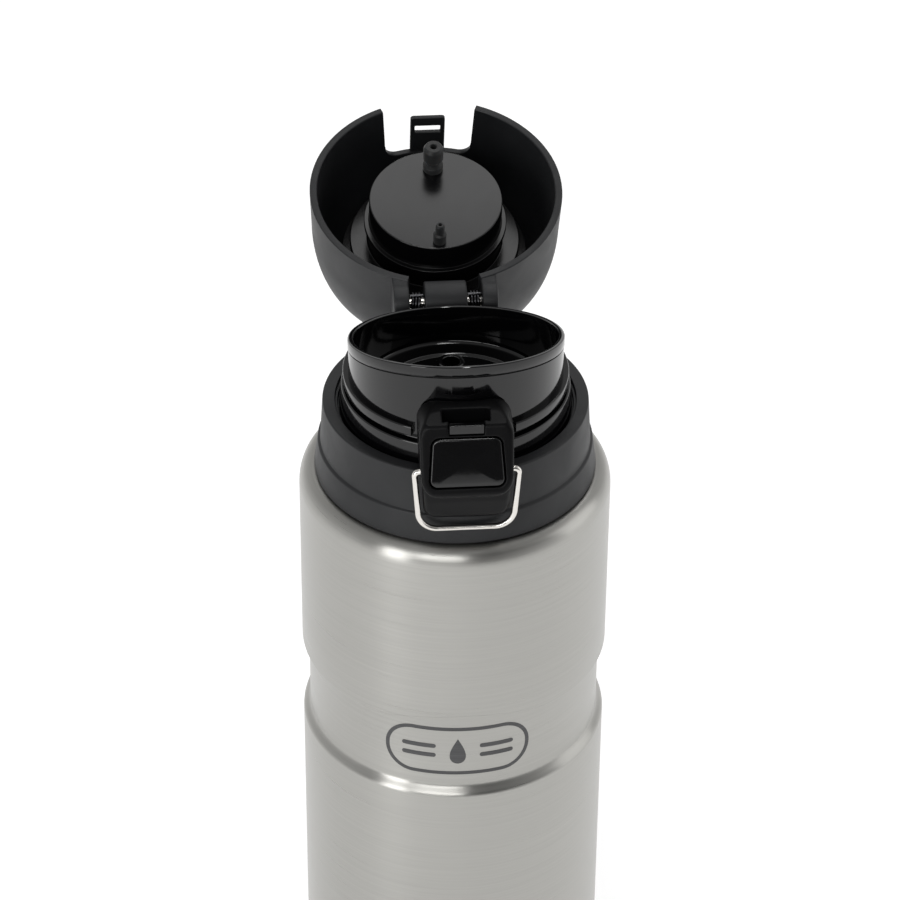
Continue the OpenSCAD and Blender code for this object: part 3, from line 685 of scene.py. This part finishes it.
class BOTTLE_OT_inner_vessel(Operator):
    """Adds the inner vessel, the base plate, the getter and the vacuum seal"""

    bl_idname = "bottle.inner_vessel"
    bl_label = "Inner vessel and base"

    def execute(self, context):
        r = BODY_R - SHEET - 3.8

        def side(t):
            return np.concatenate([
                [[0, 8 + t]], arc(r - 12, 20, 12 - t, 12 - t, -90, 0, 12),
                arc(r - 6, SEAT - 11.4, 6 - t, 6 - t, 0, 60, 8),
                [[MOUTH_R + 1 - t, SEAT - 1.5], [MOUTH_R - t, SEAT + 1], [MOUTH_R - t, SEAT + NECK_H]]])

        lip = on_seat(spun([(MOUTH_R - SHEET, NECK_H, 0.1), (NECK_R, NECK_H, 0.1),
                            (NECK_R, NECK_H + SHEET, 0.3), (MOUTH_R - SHEET, NECK_H + SHEET, 0.35)], 160))
        wall = np.concatenate([side(0), side(SHEET)[::-1]])
        piece("inner_vessel_polished", [lathe(wall, 160, closed=False), lip],
              [drawn_steel()], "vessel", ["inner_vessel"])
        plate = spun([(1.5, 2.5, 0), (33.2, 2.5, 0.6), (33.2, 0.2, 0.05), (34, 0.2, 0.1),
                      (34, 3.3, 0.8), (1.5, 3.3, 0)], 160)
        piece("base_plate_pressed", [plate],
              [drawn_steel()], "vessel", ["base_plate"])
        bead = spun([(0, 1.7, 0), (2.4, 1.7, 0.3), (4, 2.5, 0.1), (1.5, 2.5, 0.05), (1.5, 3.3, 0.1),
                     (0, 3.3, 0)], 64, closed=False)
        piece("vacuum_seal_bead", [bead],
              [drawn_wire("brazing_alloy_cast", "#9A9EA2", 0.35)], "vessel", ["vacuum_seal"])
        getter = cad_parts["getter"]
        getter.data.materials.clear()
        getter.data.materials.append(sintered_getter())
        return {"FINISHED"}


class BOTTLE_OT_mark(Operator):
    """Adds a plain drop in a rounded outline, darkened into the waist"""

    bl_idname = "bottle.mark"
    bl_label = "Plain mark"

    def execute(self, context):
        turn, height, skin = math.radians(-2.6), 145.0, 0.06

        def wrapped(part):
            p, faces = part
            a = p[:, 0] / WAIST_R + turn
            r = WAIST_R + p[:, 2]
            return np.column_stack([r * np.sin(a), -r * np.cos(a), height + p[:, 1]]), faces

        outer = resampled(rounded_block(38.6, 38.6, 15.6, 7.6, 24), 240)
        inner = inset(outer, 1.05)
        t = np.linspace(0, 2 * np.pi, 72, endpoint=False)
        drop = np.stack([2.9 * np.sin(t) * np.sin(t / 2) ** 1.3, 4.1 * np.cos(t)], -1)
        parts = [window_frame(outer, inner, -skin, skin, 0.02),
                 slab(drop[::-1], -skin, skin, 0.02, np.array([0.0, -1.2]), rings=3)]
        for x in (-10.2, 10.2):
            for y in (-1.5, 1.5):
                bar = resampled(rounded_block(9.0, 9.0, 1.3, 0.62), 90) + [x, y]
                parts.append(slab(bar, -skin, skin, 0.02, np.array([x, y]), rings=8))
        piece("waist_mark", [wrapped(p) for p in parts],
              [etched_mark()], "vessel")
        return {"FINISHED"}


class BOTTLE_OT_collar(Operator):
    """Adds the collar with its inner thread and hinge knuckle"""

    bl_idname = "bottle.collar"
    bl_label = "Collar"

    def execute(self, context):
        ring = spun([
            (31, 0.3, 0.1), (BAND_R, 0.35, 0.5), (35.1, 7.9, 0.8), (34.45, 8.4, 0.35),
            (33.75, 20.2, 0.55), (30.55, 20.2, 0.25), (30.55, 19, 0.15), (29.95, 19, 0.1),
            (29.95, DECK_Z, 0.1), (23.9, DECK_Z, 0.1), (23.9, 15.3, 0.1), (31, 15.3, 0.3)], 224)
        thread = thread_ridge(31.0, 30.3, 5)
        lug = np.concatenate([
            arc(HINGE_Y, HINGE_Z, KNUCKLE_R, KNUCKLE_R, -32, 178, 36),
            [[30.8, 22.6], [30.8, 17.4], [32.4, 13.9], [33.7, 12.6], [35.0, 13.4], [37.2, 16.4]]])
        knuckle = upright(lug, -KNUCKLE_W / 2, KNUCKLE_W / 2, (34.6, 21.0))
        piece("collar_moulded", [on_seat(p) for p in (ring, thread, knuckle)],
              [textured_black()], "collar", ["collar"])
        return {"FINISHED"}


class BOTTLE_OT_seals(Operator):
    """Adds the two silicone rings under the collar and the spout"""

    bl_idname = "bottle.seals"
    bl_label = "Silicone rings"

    def execute(self, context):
        clear = silicone("silicone_clear_moulded", "#D9DAD8", True)
        flat = spun([(24.6, 13.8, 0.2), (29.6, 13.8, 0.2), (29.6, 15.3, 0.2), (24.6, 15.3, 0.2)], 160)
        piece("collar_ring_seal", [on_seat(flat)],
              [clear], "gasket", ["collar_gasket"])
        cord = arc(23.15, 16.3, 0.7, 0.7, 0, 345, 23)
        piece("spout_ring_seal", [on_seat(lathe(cord, 160))],
              [clear], "collar", ["spout_gasket"])
        return {"FINISHED"}


def lip_height(y):
    """Height of the spout's sloping lip over the seat, highest at the front."""
    return LIP_MID - LIP_SLOPE * y


class BOTTLE_OT_spout(Operator):
    """Adds the glossy spout with its sloping lip, cup floor and rib"""

    bl_idname = "bottle.spout"
    bl_label = "Spout"

    def execute(self, context):
        turns = 224
        under = rounded([(0, DECK_Z, 0), (22, DECK_Z, 0), (22, 14.5, 0.1), (23.6, 14.5, 0.2),
                         (23.6, 15.5, 0), (22.4, 15.5, 0), (22.4, 17.1, 0), (23.6, 17.1, 0),
                         (23.6, DECK_Z, 0), (29.65, DECK_Z, 0.2), (28.95, 25, 0.5),
                         (SPOUT_R - 0.15, 25.0, 0.35), (SPOUT_R - 0.15, 26.0, 0)], closed=False)
        # Rows under the lip: radius and depth below the sloping lip
        lip = np.array([
            (SPOUT_R - 0.15, 3.35), (SPOUT_R - 0.4, 3.2), (SPOUT_R - 0.4, 3.05), (SPOUT_R - 0.06, 2.85),
            (SPOUT_R, 2.7),
            (SPOUT_R, 0.45), (SPOUT_R - 0.08, 0.2), (SPOUT_R - 0.25, 0.05), (SPOUT_R - 0.5, 0.0),
            (SPOUT_IN_R + 0.45, 0.0), (SPOUT_IN_R + 0.2, 0.06), (SPOUT_IN_R + 0.05, 0.2),
            (SPOUT_IN_R, 0.45), (SPOUT_IN_R, 2.8)])
        inside = rounded([(SPOUT_IN_R, CUP_Z + 6, 0), (SPOUT_IN_R, CUP_Z, 1.6), (20.9, CUP_Z, 0.9),
                          (20.0, CUP_Z - 0.5, 0.5), (0, CUP_Z - 0.5, 0)], closed=False)
        outline = np.concatenate([under, np.column_stack([lip[:, 0], 0 * lip[:, 1]]), inside])
        a = np.linspace(0, 2 * np.pi, turns, endpoint=False)
        r, h = outline[:, 0, None], outline[:, 1, None] + 0 * a
        x, y = r * np.sin(a), -r * np.cos(a)
        first, last = len(under), len(under) + len(lip)
        h[first:last] = lip_height(y[first:last]) - lip[:, 1, None]
        points, faces = grid(np.stack([x, y, h], -1))
        holes = [moved(spun([(0, 5, 0), (hole_r, 5, 0), (hole_r, 30, 0), (0, 30, 0)], sides, closed=False),
                       (0, hole_y, SEAT))
                 for hole_r, hole_y, sides in ((DRINK_HOLE_R, DRINK_Y, 64), (VENT_HOLE_R, VENT_Y, 48))]
        cup = boolean(to_mesh("cup", [on_seat((points, faces))]), [to_mesh("hole", [h]) for h in holes])
        # Rib round the back and the sides, left out behind the button housing
        section = rounded([(26.9, 26.2, 0.1), (28.55, 26.2, 0.4), (28.55, 29, 0.5), (26.9, 29, 0.1)])
        b = np.radians(np.linspace(27.2, 332.8, 150))[:, None]
        rib = np.stack([section[:, 0] * np.sin(b), -section[:, 0] * np.cos(b), section[:, 1] + 0 * b], -1)
        ends = [np.repeat(rib[k:k + 1].mean(1, keepdims=True), rib.shape[1], 1) for k in (0, len(rib) - 1)]
        rib = grid(np.concatenate([ends[0], rib, ends[1]]))
        boss = spun([(VENT_HOLE_R, 17.6, 0), (3.6, 17.6, 0), (3.6, 20.7, 0.5), (VENT_HOLE_R, 20.7, 0.3)], 64)
        guard = spun([(DRINK_HOLE_R, 18.4, 0), (4.3, 18.4, 0), (4.15, 19.25, 0.3),
                      (DRINK_HOLE_R, 19.25, 0.3)], 64)
        extras = to_mesh("extras", [on_seat(rib), moved(boss, (0, VENT_Y, SEAT)),
                                    moved(guard, (0, DRINK_Y, SEAT))])
        piece("spout_moulded", joined("spout_moulded", [cup, extras]),
              [gloss_black()], "collar", ["spout"], sharp=32)
        return {"FINISHED"}


def front_form(width_low, width_high, low, high, corner, front, edge):
    """A trapezium with round corners seen from the front, whose front face lies at a depth that is
    a function of height, eased over every outer edge by a quarter circle, and carried back."""
    outline = resampled(rounded_block(width_low, width_high, high - low, corner, 14), 200)
    middle = (low + high) / 2
    heights, depths = zip(*front)
    rows = [(inset(outline, edge) * s, 0.0) for s in np.linspace(0, 1, 30, endpoint=False)]
    for q in np.radians([90, 75, 60, 45, 30, 15, 0]):
        rows.append((inset(outline, edge * (1 - math.cos(q))), edge * (1 - math.sin(q))))
    points = []
    for xz, back in rows:
        z = xz[:, 1] + middle
        points.append(np.column_stack([xz[:, 0], np.interp(z, heights, depths) + back, z]))
    for s in (1.0, 0.0):
        points.append(np.column_stack([outline[:, 0] * s, np.full(len(outline), -25.0),
                                       outline[:, 1] * s + middle]))
    return on_seat(grid(np.stack(points)))


def housing_form():
    """The button housing's outer form: a bezel block with large round corners that stands out
    over a narrower toe."""
    bezel = front_form(HOUSING_W - 0.6, HOUSING_W, 17.2, 37.8, 5.6,
                       [(17.2, -40.0), (18.8, -40.45), (35.0, -35.0), (35.9, -34.3), (36.8, -32.0),
                        (37.8, -28.4)], 1.2)
    toe = front_form(HOUSING_W - 2.4, HOUSING_W - 1.6, 8.3, 26.0, 4.4,
                     [(8.3, -35.9), (10.0, -36.9), (15.2, -38.4), (18.0, -38.9), (26.0, -36.2)], 1.4)
    return moulded_soft(to_mesh("form", [bezel, toe]), 0.3, 3)


class BOTTLE_OT_button(Operator):
    """Adds the button housing, the push button, its spring and the latch"""

    bl_idname = "bottle.button"
    bl_label = "Button and latch"

    def execute(self, context):
        edge = context.scene.bottle_plastic.edge / MM
        housing = boolean(merged_copy("button_housing"), [housing_form()], "INTERSECT")
        housing = moulded_soft(housing, 0.22, 4)
        piece("button_housing_moulded", housing, [satin_black()], "collar",
              ["button_housing"], sharp=80)
        outline = rounded_block(18.6, 16.8, 12.4, 1.9)
        outline[:, 1] -= 0.4
        cap = slab(outline, -1.2, 0.05, edge, np.array([0, -0.4]), dome=0.25, rings=8)
        stud = spun([(0, -2.35, 0), (1.2, -2.35, 0.2), (1.2, -1.0, 0), (0, -1.0, 0)], 32, closed=False)
        stud = moved(stud, (0, SPRING_Y, 0))
        parts = [stood(p, BEZEL_CENTRE, ACROSS, UP_SLOPE, OUTWARDS) for p in (cap, stud)]
        piece("push_button_gloss", parts, [gloss_black()],
              "button", ["push_button"])
        coil = tube(helix(1.9, -5.2, -1.85, 4.5, 130) + [0, SPRING_Y, 0], 0.3, (0, 0, 1), 10)
        coil = stood(coil, BEZEL_CENTRE, ACROSS, UP_SLOPE, OUTWARDS)
        spring = piece("button_spring_coil", [coil],
                       [drawn_wire("spring_wire_oiled", "#7C7C7E", 0.22)], "collar",
                       ["button_spring"])
        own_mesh(spring)
        piece("latch_moulded", moulded_soft(merged_copy("latch"), 0.14, 3), [gloss_black()],
              "latch", ["latch"], sharp=80)
        return {"FINISHED"}


class BOTTLE_OT_bail(Operator):
    """Adds the polished wire bail that hangs from the button housing"""

    bl_idname = "bottle.bail"
    bl_label = "Wire bail"

    def execute(self, context):
        elbow, corner, length, lean = 1.2, 5.0, 17.5, 4.0
        bar_x = 7.0
        half = np.concatenate([
            np.linspace([10.1 + WIRE_R, 0], [BAIL_X - elbow, 0], 3)[:-1],
            arc(BAIL_X - elbow, -elbow, elbow, elbow, 90, -lean, 10),
            arc(bar_x, corner - length, corner, corner, -lean, -90, 18)])
        whole = np.concatenate([half, half[::-1] * [-1, 1]])
        path = np.column_stack([whole[:, 0], np.full(len(whole), BAIL_Y), whole[:, 1] + SEAT + BAIL_Z])
        piece("bail_wire", [tube(path, WIRE_R, BACK, 20)],
              [drawn_wire("steel_wire_polished", "#D8D5D0", 0.16)], "bail", ["bail"], sharp=60)
        return {"FINISHED"}


def lid_edge(angle, radius):
    """Height of the lid's lower edge at an angle from the front: the notch for the button housing
    with its round corners, the gap for the knuckle at the back, and the plain rim between."""
    x = np.abs(radius * np.sin(angle))
    front = np.cos(angle) > 0
    notch_r, top, half_top, half_low = 4.0, 37.9, 12.45, 13.1
    side = LID_Z + (half_low - x) / (half_low - half_top - 0.12) * (top - notch_r - LID_Z)
    round_x = np.clip(x - (half_top - notch_r), 0, notch_r)
    curve = top - notch_r + np.sqrt(np.maximum(notch_r**2 - round_x**2, 0))
    notch = np.where(x < half_top - 0.06, curve, np.clip(side, LID_Z, top - notch_r))
    notch = np.where(x < half_low, np.minimum(notch, curve), LID_Z)
    gap = LID_Z + np.clip((EAR_X + 0.12 - x) / 0.12, 0, 1) * (HINGE_Z + 7.4 - LID_Z)
    return np.where(front, notch, gap)


class BOTTLE_OT_lid(Operator):
    """Adds the open lid with its notch, hinge ears and latch tab"""

    bl_idname = "bottle.lid"
    bl_label = "Lid"

    def execute(self, context):
        def side(inner, top):
            dense = np.concatenate([
                np.linspace([LID_R - inner, LID_Z], [CROWN_R - inner, CROWN_Z], 60),
                arc(CROWN_R - CROWN_RUN, CROWN_Z, CROWN_RUN - inner, 21.4 - top, 2, 90, 120),
                np.linspace([CROWN_R - CROWN_RUN, LID_TOP - top], [0, LID_TOP - top], 20)[1:]])
            return dense, np.concatenate([[0], np.cumsum(np.linalg.norm(np.diff(dense, axis=0), axis=1))])

        steep = [math.asin(x / LID_R) for x in (12.3, 13.2, 9.3, 9.75)]
        fine = np.linspace(steep[0], steep[1], 26)
        back = np.linspace(steep[2], steep[3], 10)
        round_part = np.linspace(math.asin(8.2 / LID_R), steep[0], 16)
        angles = np.concatenate([np.linspace(-np.pi, np.pi, 240, endpoint=False), fine, -fine, round_part,
                                 -round_part, np.pi - back, back - np.pi])
        angles = np.unique(np.round(angles, 7))
        share = np.concatenate([[0, 0.003, 0.008, 0.015, 0.03], np.linspace(0.06, 1, 44)])[:, None]

        def skin(inner, top, lift):
            dense, length = side(inner, top)
            edge = lid_edge(angles, LID_R)[None] + lift
            start = np.interp(edge, dense[:, 1], length)
            at = start + (length[-1] - start) * share
            r, z = np.interp(at, length, dense[:, 0]), np.interp(at, length, dense[:, 1])
            return np.stack([r * np.sin(angles), -r * np.cos(angles), z], -1)

        outside, inside = skin(0, 0, 0.3), skin(LID_WALL, LID_ROOF, 0.3)
        rim = []
        for t in (0.12, 0.5, 0.88):
            row = outside[0] * (1 - t) + inside[0] * t
            row[:, 2] -= 0.3 if t == 0.5 else 0.24
            rim.append(row)
        whole = np.concatenate([outside[::-1], np.stack(rim), inside])
        points, faces = grid(whole)
        shell = to_mesh("shell", [lid_opened((points, faces))])
        inner_faces = np.zeros(len(shell.polygons), np.int32)
        centre = np.zeros(len(shell.polygons) * 3)
        shell.polygons.foreach_get("center", centre)
        c = centre.reshape(-1, 3) / MM
        y, z = c[:, 1] - HINGE_Y, c[:, 2] - HINGE_Z - SEAT
        cos, sin = math.cos(LID_OPEN), math.sin(LID_OPEN)
        closed_y, closed_z = y * cos - z * sin + HINGE_Y, y * sin + z * cos + HINGE_Z
        r = np.hypot(c[:, 0], closed_y)
        wall = side(0, 0)[0][:180]
        outer_r = np.interp(closed_z, wall[:, 1], wall[:, 0])
        inner_faces[(r < outer_r - 0.9) & (closed_z < LID_TOP - 1)] = 1
        shell.polygons.foreach_set("material_index", inner_faces)

        ear = np.concatenate([
            arc(HINGE_Y, HINGE_Z, 5.1, 5.1, -112, 74, 30),
            rounded([(36.9, 30.6, 0), (33.7, 33.9, 1.2), (30.4, 34.0, 0), (30.4, 20.8, 0), (33.6, 20.5, 0)],
                    closed=False)])
        ears = []
        for out in (-1, 1):
            low, high = sorted((out * EAR_X, out * (EAR_X + EAR_W)))
            ears.append(upright(ear, low, high, (34.6, 26.0)))
        tab_outer = rounded_block(9.4, 9.4, 13, 0.9, 5) + [0, 32]
        tab_inner = rounded_block(7, 7, 2.4, 0.35, 5) + [0, 29.9]
        tab = stood(window_frame(tab_outer, tab_inner, -0.6, 0.6, 0.2), (0, TAB_Y, 0), ACROSS, UP, -BACK)
        added = to_mesh("added", [lid_opened(p) for p in (*ears, tab)])
        piece("lid_shell_moulded", joined("lid_shell_moulded", [shell, added]),
              [textured_black(), satin_black()], "lid", ["lid_shell"])
        return {"FINISHED"}


class BOTTLE_OT_plug(Operator):
    """Adds the stepped plug under the lid and its two silicone pins"""

    bl_idname = "bottle.plug"
    bl_label = "Lid plug and pins"

    def execute(self, context):
        plug = spun([
            (0, 24.3, 0), (17.8, 24.3, 0.4), (17.8, 32, 0.2), (19.1, 32, 0.25),
            (19.1, 33.2, 0.25), (18.1, 33.6, 0.2), (18.1, 39, 0.4), (22.9, 39, 0.4),
            (22.9, 40.6, 0.3), (21.7, 41, 0.2),
            (21.7, 44, 0.4), (25.1, 44, 0.4), (25.1, 45.6, 0.3), (23.9, 46, 0.2), (23.9, 51.4, 0),
            (22.4, 51.4, 0), (22.4, 45.6, 0), (19.7, 45.6, 0), (19.7, 40.6, 0), (16.2, 40.6, 0),
            (16.2, 26.1, 0), (0, 26.1, 0)], 192, closed=False)
        piece("lid_plug_moulded", [lid_opened(plug)],
              [fine_satin_black()], "lid", ["lid_plug"])
        rubber = silicone("silicone_black_moulded", "#141516", False)
        drink = spun([
            (0, 21, 0), (0.9, 21, 0.1), (0.9, 16, 0.25), (2.2, 16, 0.4), (2.7, 17, 0.4), (2.7, 20.4, 0.4),
            (1.9, 20.9, 0.2), (1.9, 22.2, 0.2), (2.7, 22.6, 0.3), (2.7, 24.3, 0.1), (1.6, 24.3, 0),
            (1.6, 26.1, 0), (2.6, 26.1, 0.1), (1.7, 27.7, 0.3), (0, 27.7, 0)], 48, closed=False)
        vent = spun([
            (0, 21, 0), (0.5, 21, 0.1), (0.5, 18, 0.15), (0.95, 18, 0.2), (1.2, 18.5, 0.2), (1.2, 21.1, 0.3),
            (1.75, 21.5, 0.3), (1.75, 24.3, 0.1), (0.9, 24.3, 0), (0.9, 26.1, 0), (1.6, 26.1, 0.1),
            (1.0, 27.3, 0.2), (0, 27.3, 0)], 48, closed=False)
        for name, node, pin, y in (("drink_pin_rubber", "drink_hole_pin", drink, DRINK_Y),
                                   ("vent_pin_rubber", "vent_pin", vent, VENT_Y)):
            piece(name, [lid_opened(moved(pin, (0, y, 0)))], [rubber], "lid", [node])
        return {"FINISHED"}


class BOTTLE_OT_hinge(Operator):
    """Adds the hinge pin and the two torsion springs beside the knuckle"""

    bl_idname = "bottle.hinge"
    bl_label = "Hinge pin and springs"

    def execute(self, context):
        half, wire_r = 12.6, 0.425
        points, faces = spun([(0, -half, 0), (PIN_R, -half, 0.3), (PIN_R, half, 0.3), (0, half, 0)],
                             40, closed=False)
        turned = np.column_stack([points[:, 2], points[:, 0] + HINGE_Y, points[:, 1] + HINGE_Z])
        piece("hinge_pin_steel", [on_seat((turned, faces))],
              [drawn_wire("steel_wire_polished", "#D8D5D0", 0.16)], "collar", ["hinge_pin"])
        for name, node, out in (("hinge_spring_left_coil", "hinge_spring_left", -1),
                                ("hinge_spring_right_coil", "hinge_spring_right", 1)):
            wire = helix(2.575, 6.18, 8.82, 3.2, 110, phase=math.radians(200))
            path = np.column_stack([out * wire[:, 2], wire[:, 0] + HINGE_Y, wire[:, 1] + HINGE_Z + SEAT])
            # The coil's end runs level over the pin, up to the knuckle
            leg = np.column_stack([out * np.linspace(5.8, 9.2, 4), np.full(4, HINGE_Y - 0.9),
                                   np.full(4, HINGE_Z + SEAT + 2.9)])
            piece(name, [tube(path, wire_r, ACROSS, 12), tube(leg, wire_r, BACK, 12)],
                  [drawn_wire("spring_wire_dark", "#4A4A4C", 0.22)], "collar", [node])
        return {"FINISHED"}


class BOTTLE_OT_stage(Operator):
    """Adds the floor, the soft lights, the even sky and the camera"""

    bl_idname = "bottle.stage"
    bl_label = "Stage"

    def execute(self, context):
        s = context.scene.bottle_stage
        scene = context.scene
        floor_drop, floor_radius, aim = 0.02, 4.0, Vector((0, 0, 0.15))
        made, tree, shader, place = new_material("floor_paper_matt")
        fibre = add_node(tree, "TexNoise", {"Vector": place, "Scale": 300.0, "Detail": 2.0})
        tone = add_node(tree, "Mix", {
            "Factor": fibre, "A": shade(s.floor_colour, 0.99), "B": shade(s.floor_colour, 1.0)},
            data_type="RGBA")
        fill(shader, {
            "Base Color": tone, "Roughness": 0.9, "Specular IOR Level": 0.1,
            "Emission Color": (1.0, 1.0, 1.0, 1.0), "Emission Strength": 0.38})
        a = np.linspace(0, 2 * np.pi, 96, endpoint=False)
        r = np.array([0.001, 0.5, 1.5, floor_radius])[:, None] / MM
        points, faces = grid(np.stack([r * np.sin(a), -r * np.cos(a), 0 * a - floor_drop + 0 * r], -1))
        floor_mesh = to_mesh("floor", [(points, faces)])
        floor_mesh.materials.append(made)
        floor = bpy.data.objects.new("floor", floor_mesh)
        scene.collection.objects.link(floor)

        world = bpy.data.worlds.new("even_sky")
        scene.world = world
        world.use_nodes = True
        sky = world.node_tree
        sky.nodes.clear()
        where = add_node(sky, "TexCoord")
        split = add_node(sky, "SeparateXYZ", {"Vector": where.outputs["Generated"]})
        fall = add_node(sky, "MapRange", {
            "Value": split.outputs["Z"], "From Min": 0.0, "From Max": 0.75, "To Min": 0.75, "To Max": s.sky})
        # The room is dim in front of the bottle, so the button and the toe stay deep black
        front = add_node(sky, "MapRange", {
            "Value": split.outputs["Y"], "From Min": -0.95, "From Max": -0.2, "To Min": 0.14, "To Max": 1.0})
        both = add_node(sky, "Math", {
            0: fall, 1: front}, operation="MULTIPLY")
        light = add_node(sky, "Background", {"Color": (1.0, 1.0, 1.0, 1.0), "Strength": both})
        add_node(sky, "OutputWorld", {"Surface": light})

        # Left and front softboxes give the shoulder its bright front left, the rest edge the plastics
        for name, power, size, at in (
                ("softbox_left", s.key * 1.7, (0.6, 1.4), (-1.4, -1.4, 0.7)),
                ("softbox_front", s.key * 1.6, (1.1, 0.5), (-0.45, -1.7, 1.1)),
                ("softbox_right", s.key * 0.7, (1.2, 1.5), (1.75, 0.1, 0.8)),
                ("softbox_top", s.key * 0.5, (0.9, 0.7), (0.15, 0.9, 1.5)),
                ("strip_zenith", s.key * 0.7, (0.8, 0.12), (0.1, 0.05, 2.1))):
            lamp = bpy.data.lights.new(name, "AREA")
            lamp.shape, lamp.size, lamp.size_y, lamp.energy = "RECTANGLE", size[0], size[1], power
            rig = bpy.data.objects.new(name, lamp)
            rig.location = at
            rig.rotation_euler = (aim - Vector(at)).to_track_quat("-Z", "Y").to_euler()
            scene.collection.objects.link(rig)
        scene.view_settings.view_transform = "Standard"

        # The camera looks down on the bottle from the front, turned 4.5 degrees round it
        pitch, roll, turn = 0.62203, -0.0072, math.radians(-4.5)
        ahead = Vector((0, math.cos(pitch), -math.sin(pitch)))
        right = Vector((1, 0, 0))
        up = Vector((0, math.sin(pitch), math.cos(pitch)))
        tilted_right = right * math.cos(roll) - up * math.sin(roll)
        tilted_up = right * math.sin(roll) + up * math.cos(roll)
        basis = Matrix((tilted_right, tilted_up, -ahead)).transposed().to_4x4()
        basis.translation = Vector((-0.00131, -0.78085, 0.7732))
        lens = bpy.data.cameras.new("camera")
        lens.lens, lens.sensor_width = 150.2, 36.0
        lens.clip_start, lens.clip_end = 0.05, 20.0
        camera = bpy.data.objects.new("camera", lens)
        scene.collection.objects.link(camera)
        camera.matrix_world = Matrix.Rotation(turn, 4, "Z") @ basis
        scene.camera = camera
        return {"FINISHED"}


STEPS = (
    BOTTLE_OT_steel_body, BOTTLE_OT_inner_vessel, BOTTLE_OT_mark, BOTTLE_OT_collar, BOTTLE_OT_seals,
    BOTTLE_OT_spout, BOTTLE_OT_button, BOTTLE_OT_bail, BOTTLE_OT_lid, BOTTLE_OT_plug,
    BOTTLE_OT_hinge, BOTTLE_OT_stage)


class BOTTLE_PT_sidebar(Panel):
    """Lists the bottle's settings and pieces"""

    bl_idname = "BOTTLE_PT_sidebar"
    bl_label = "Drinking bottle"
    bl_space_type = "VIEW_3D"
    bl_region_type = "UI"
    bl_category = "Bottle"

    def draw(self, context):
        for group in (context.scene.bottle_steel, context.scene.bottle_plastic, context.scene.bottle_stage):
            box = self.layout.box()
            for key in group.__annotations__:
                box.prop(group, key)
        column = self.layout.column(align=True)
        for step in STEPS:
            column.operator(step.bl_idname)


CLASSES = (BottleSteelSettings, BottlePlasticSettings, BottleStageSettings, *STEPS, BOTTLE_PT_sidebar)


def register():
    for kind in CLASSES:
        bpy.utils.register_class(kind)
    bpy.types.Scene.bottle_steel = PointerProperty(type=BottleSteelSettings)
    bpy.types.Scene.bottle_plastic = PointerProperty(type=BottlePlasticSettings)
    bpy.types.Scene.bottle_stage = PointerProperty(type=BottleStageSettings)


def unregister():
    del bpy.types.Scene.bottle_stage
    del bpy.types.Scene.bottle_plastic
    del bpy.types.Scene.bottle_steel
    for kind in reversed(CLASSES):
        bpy.utils.unregister_class(kind)


def main():
    register()
    bpy.ops.bottle.steel_body()
    bpy.ops.bottle.inner_vessel()
    bpy.ops.bottle.mark()
    bpy.ops.bottle.collar()
    bpy.ops.bottle.seals()
    bpy.ops.bottle.spout()
    bpy.ops.bottle.button()
    bpy.ops.bottle.bail()
    bpy.ops.bottle.lid()
    bpy.ops.bottle.plug()
    bpy.ops.bottle.hinge()
    bpy.ops.bottle.stage()
    bpy.context.view_layer.update()


if __name__ == "__main__":
    main()
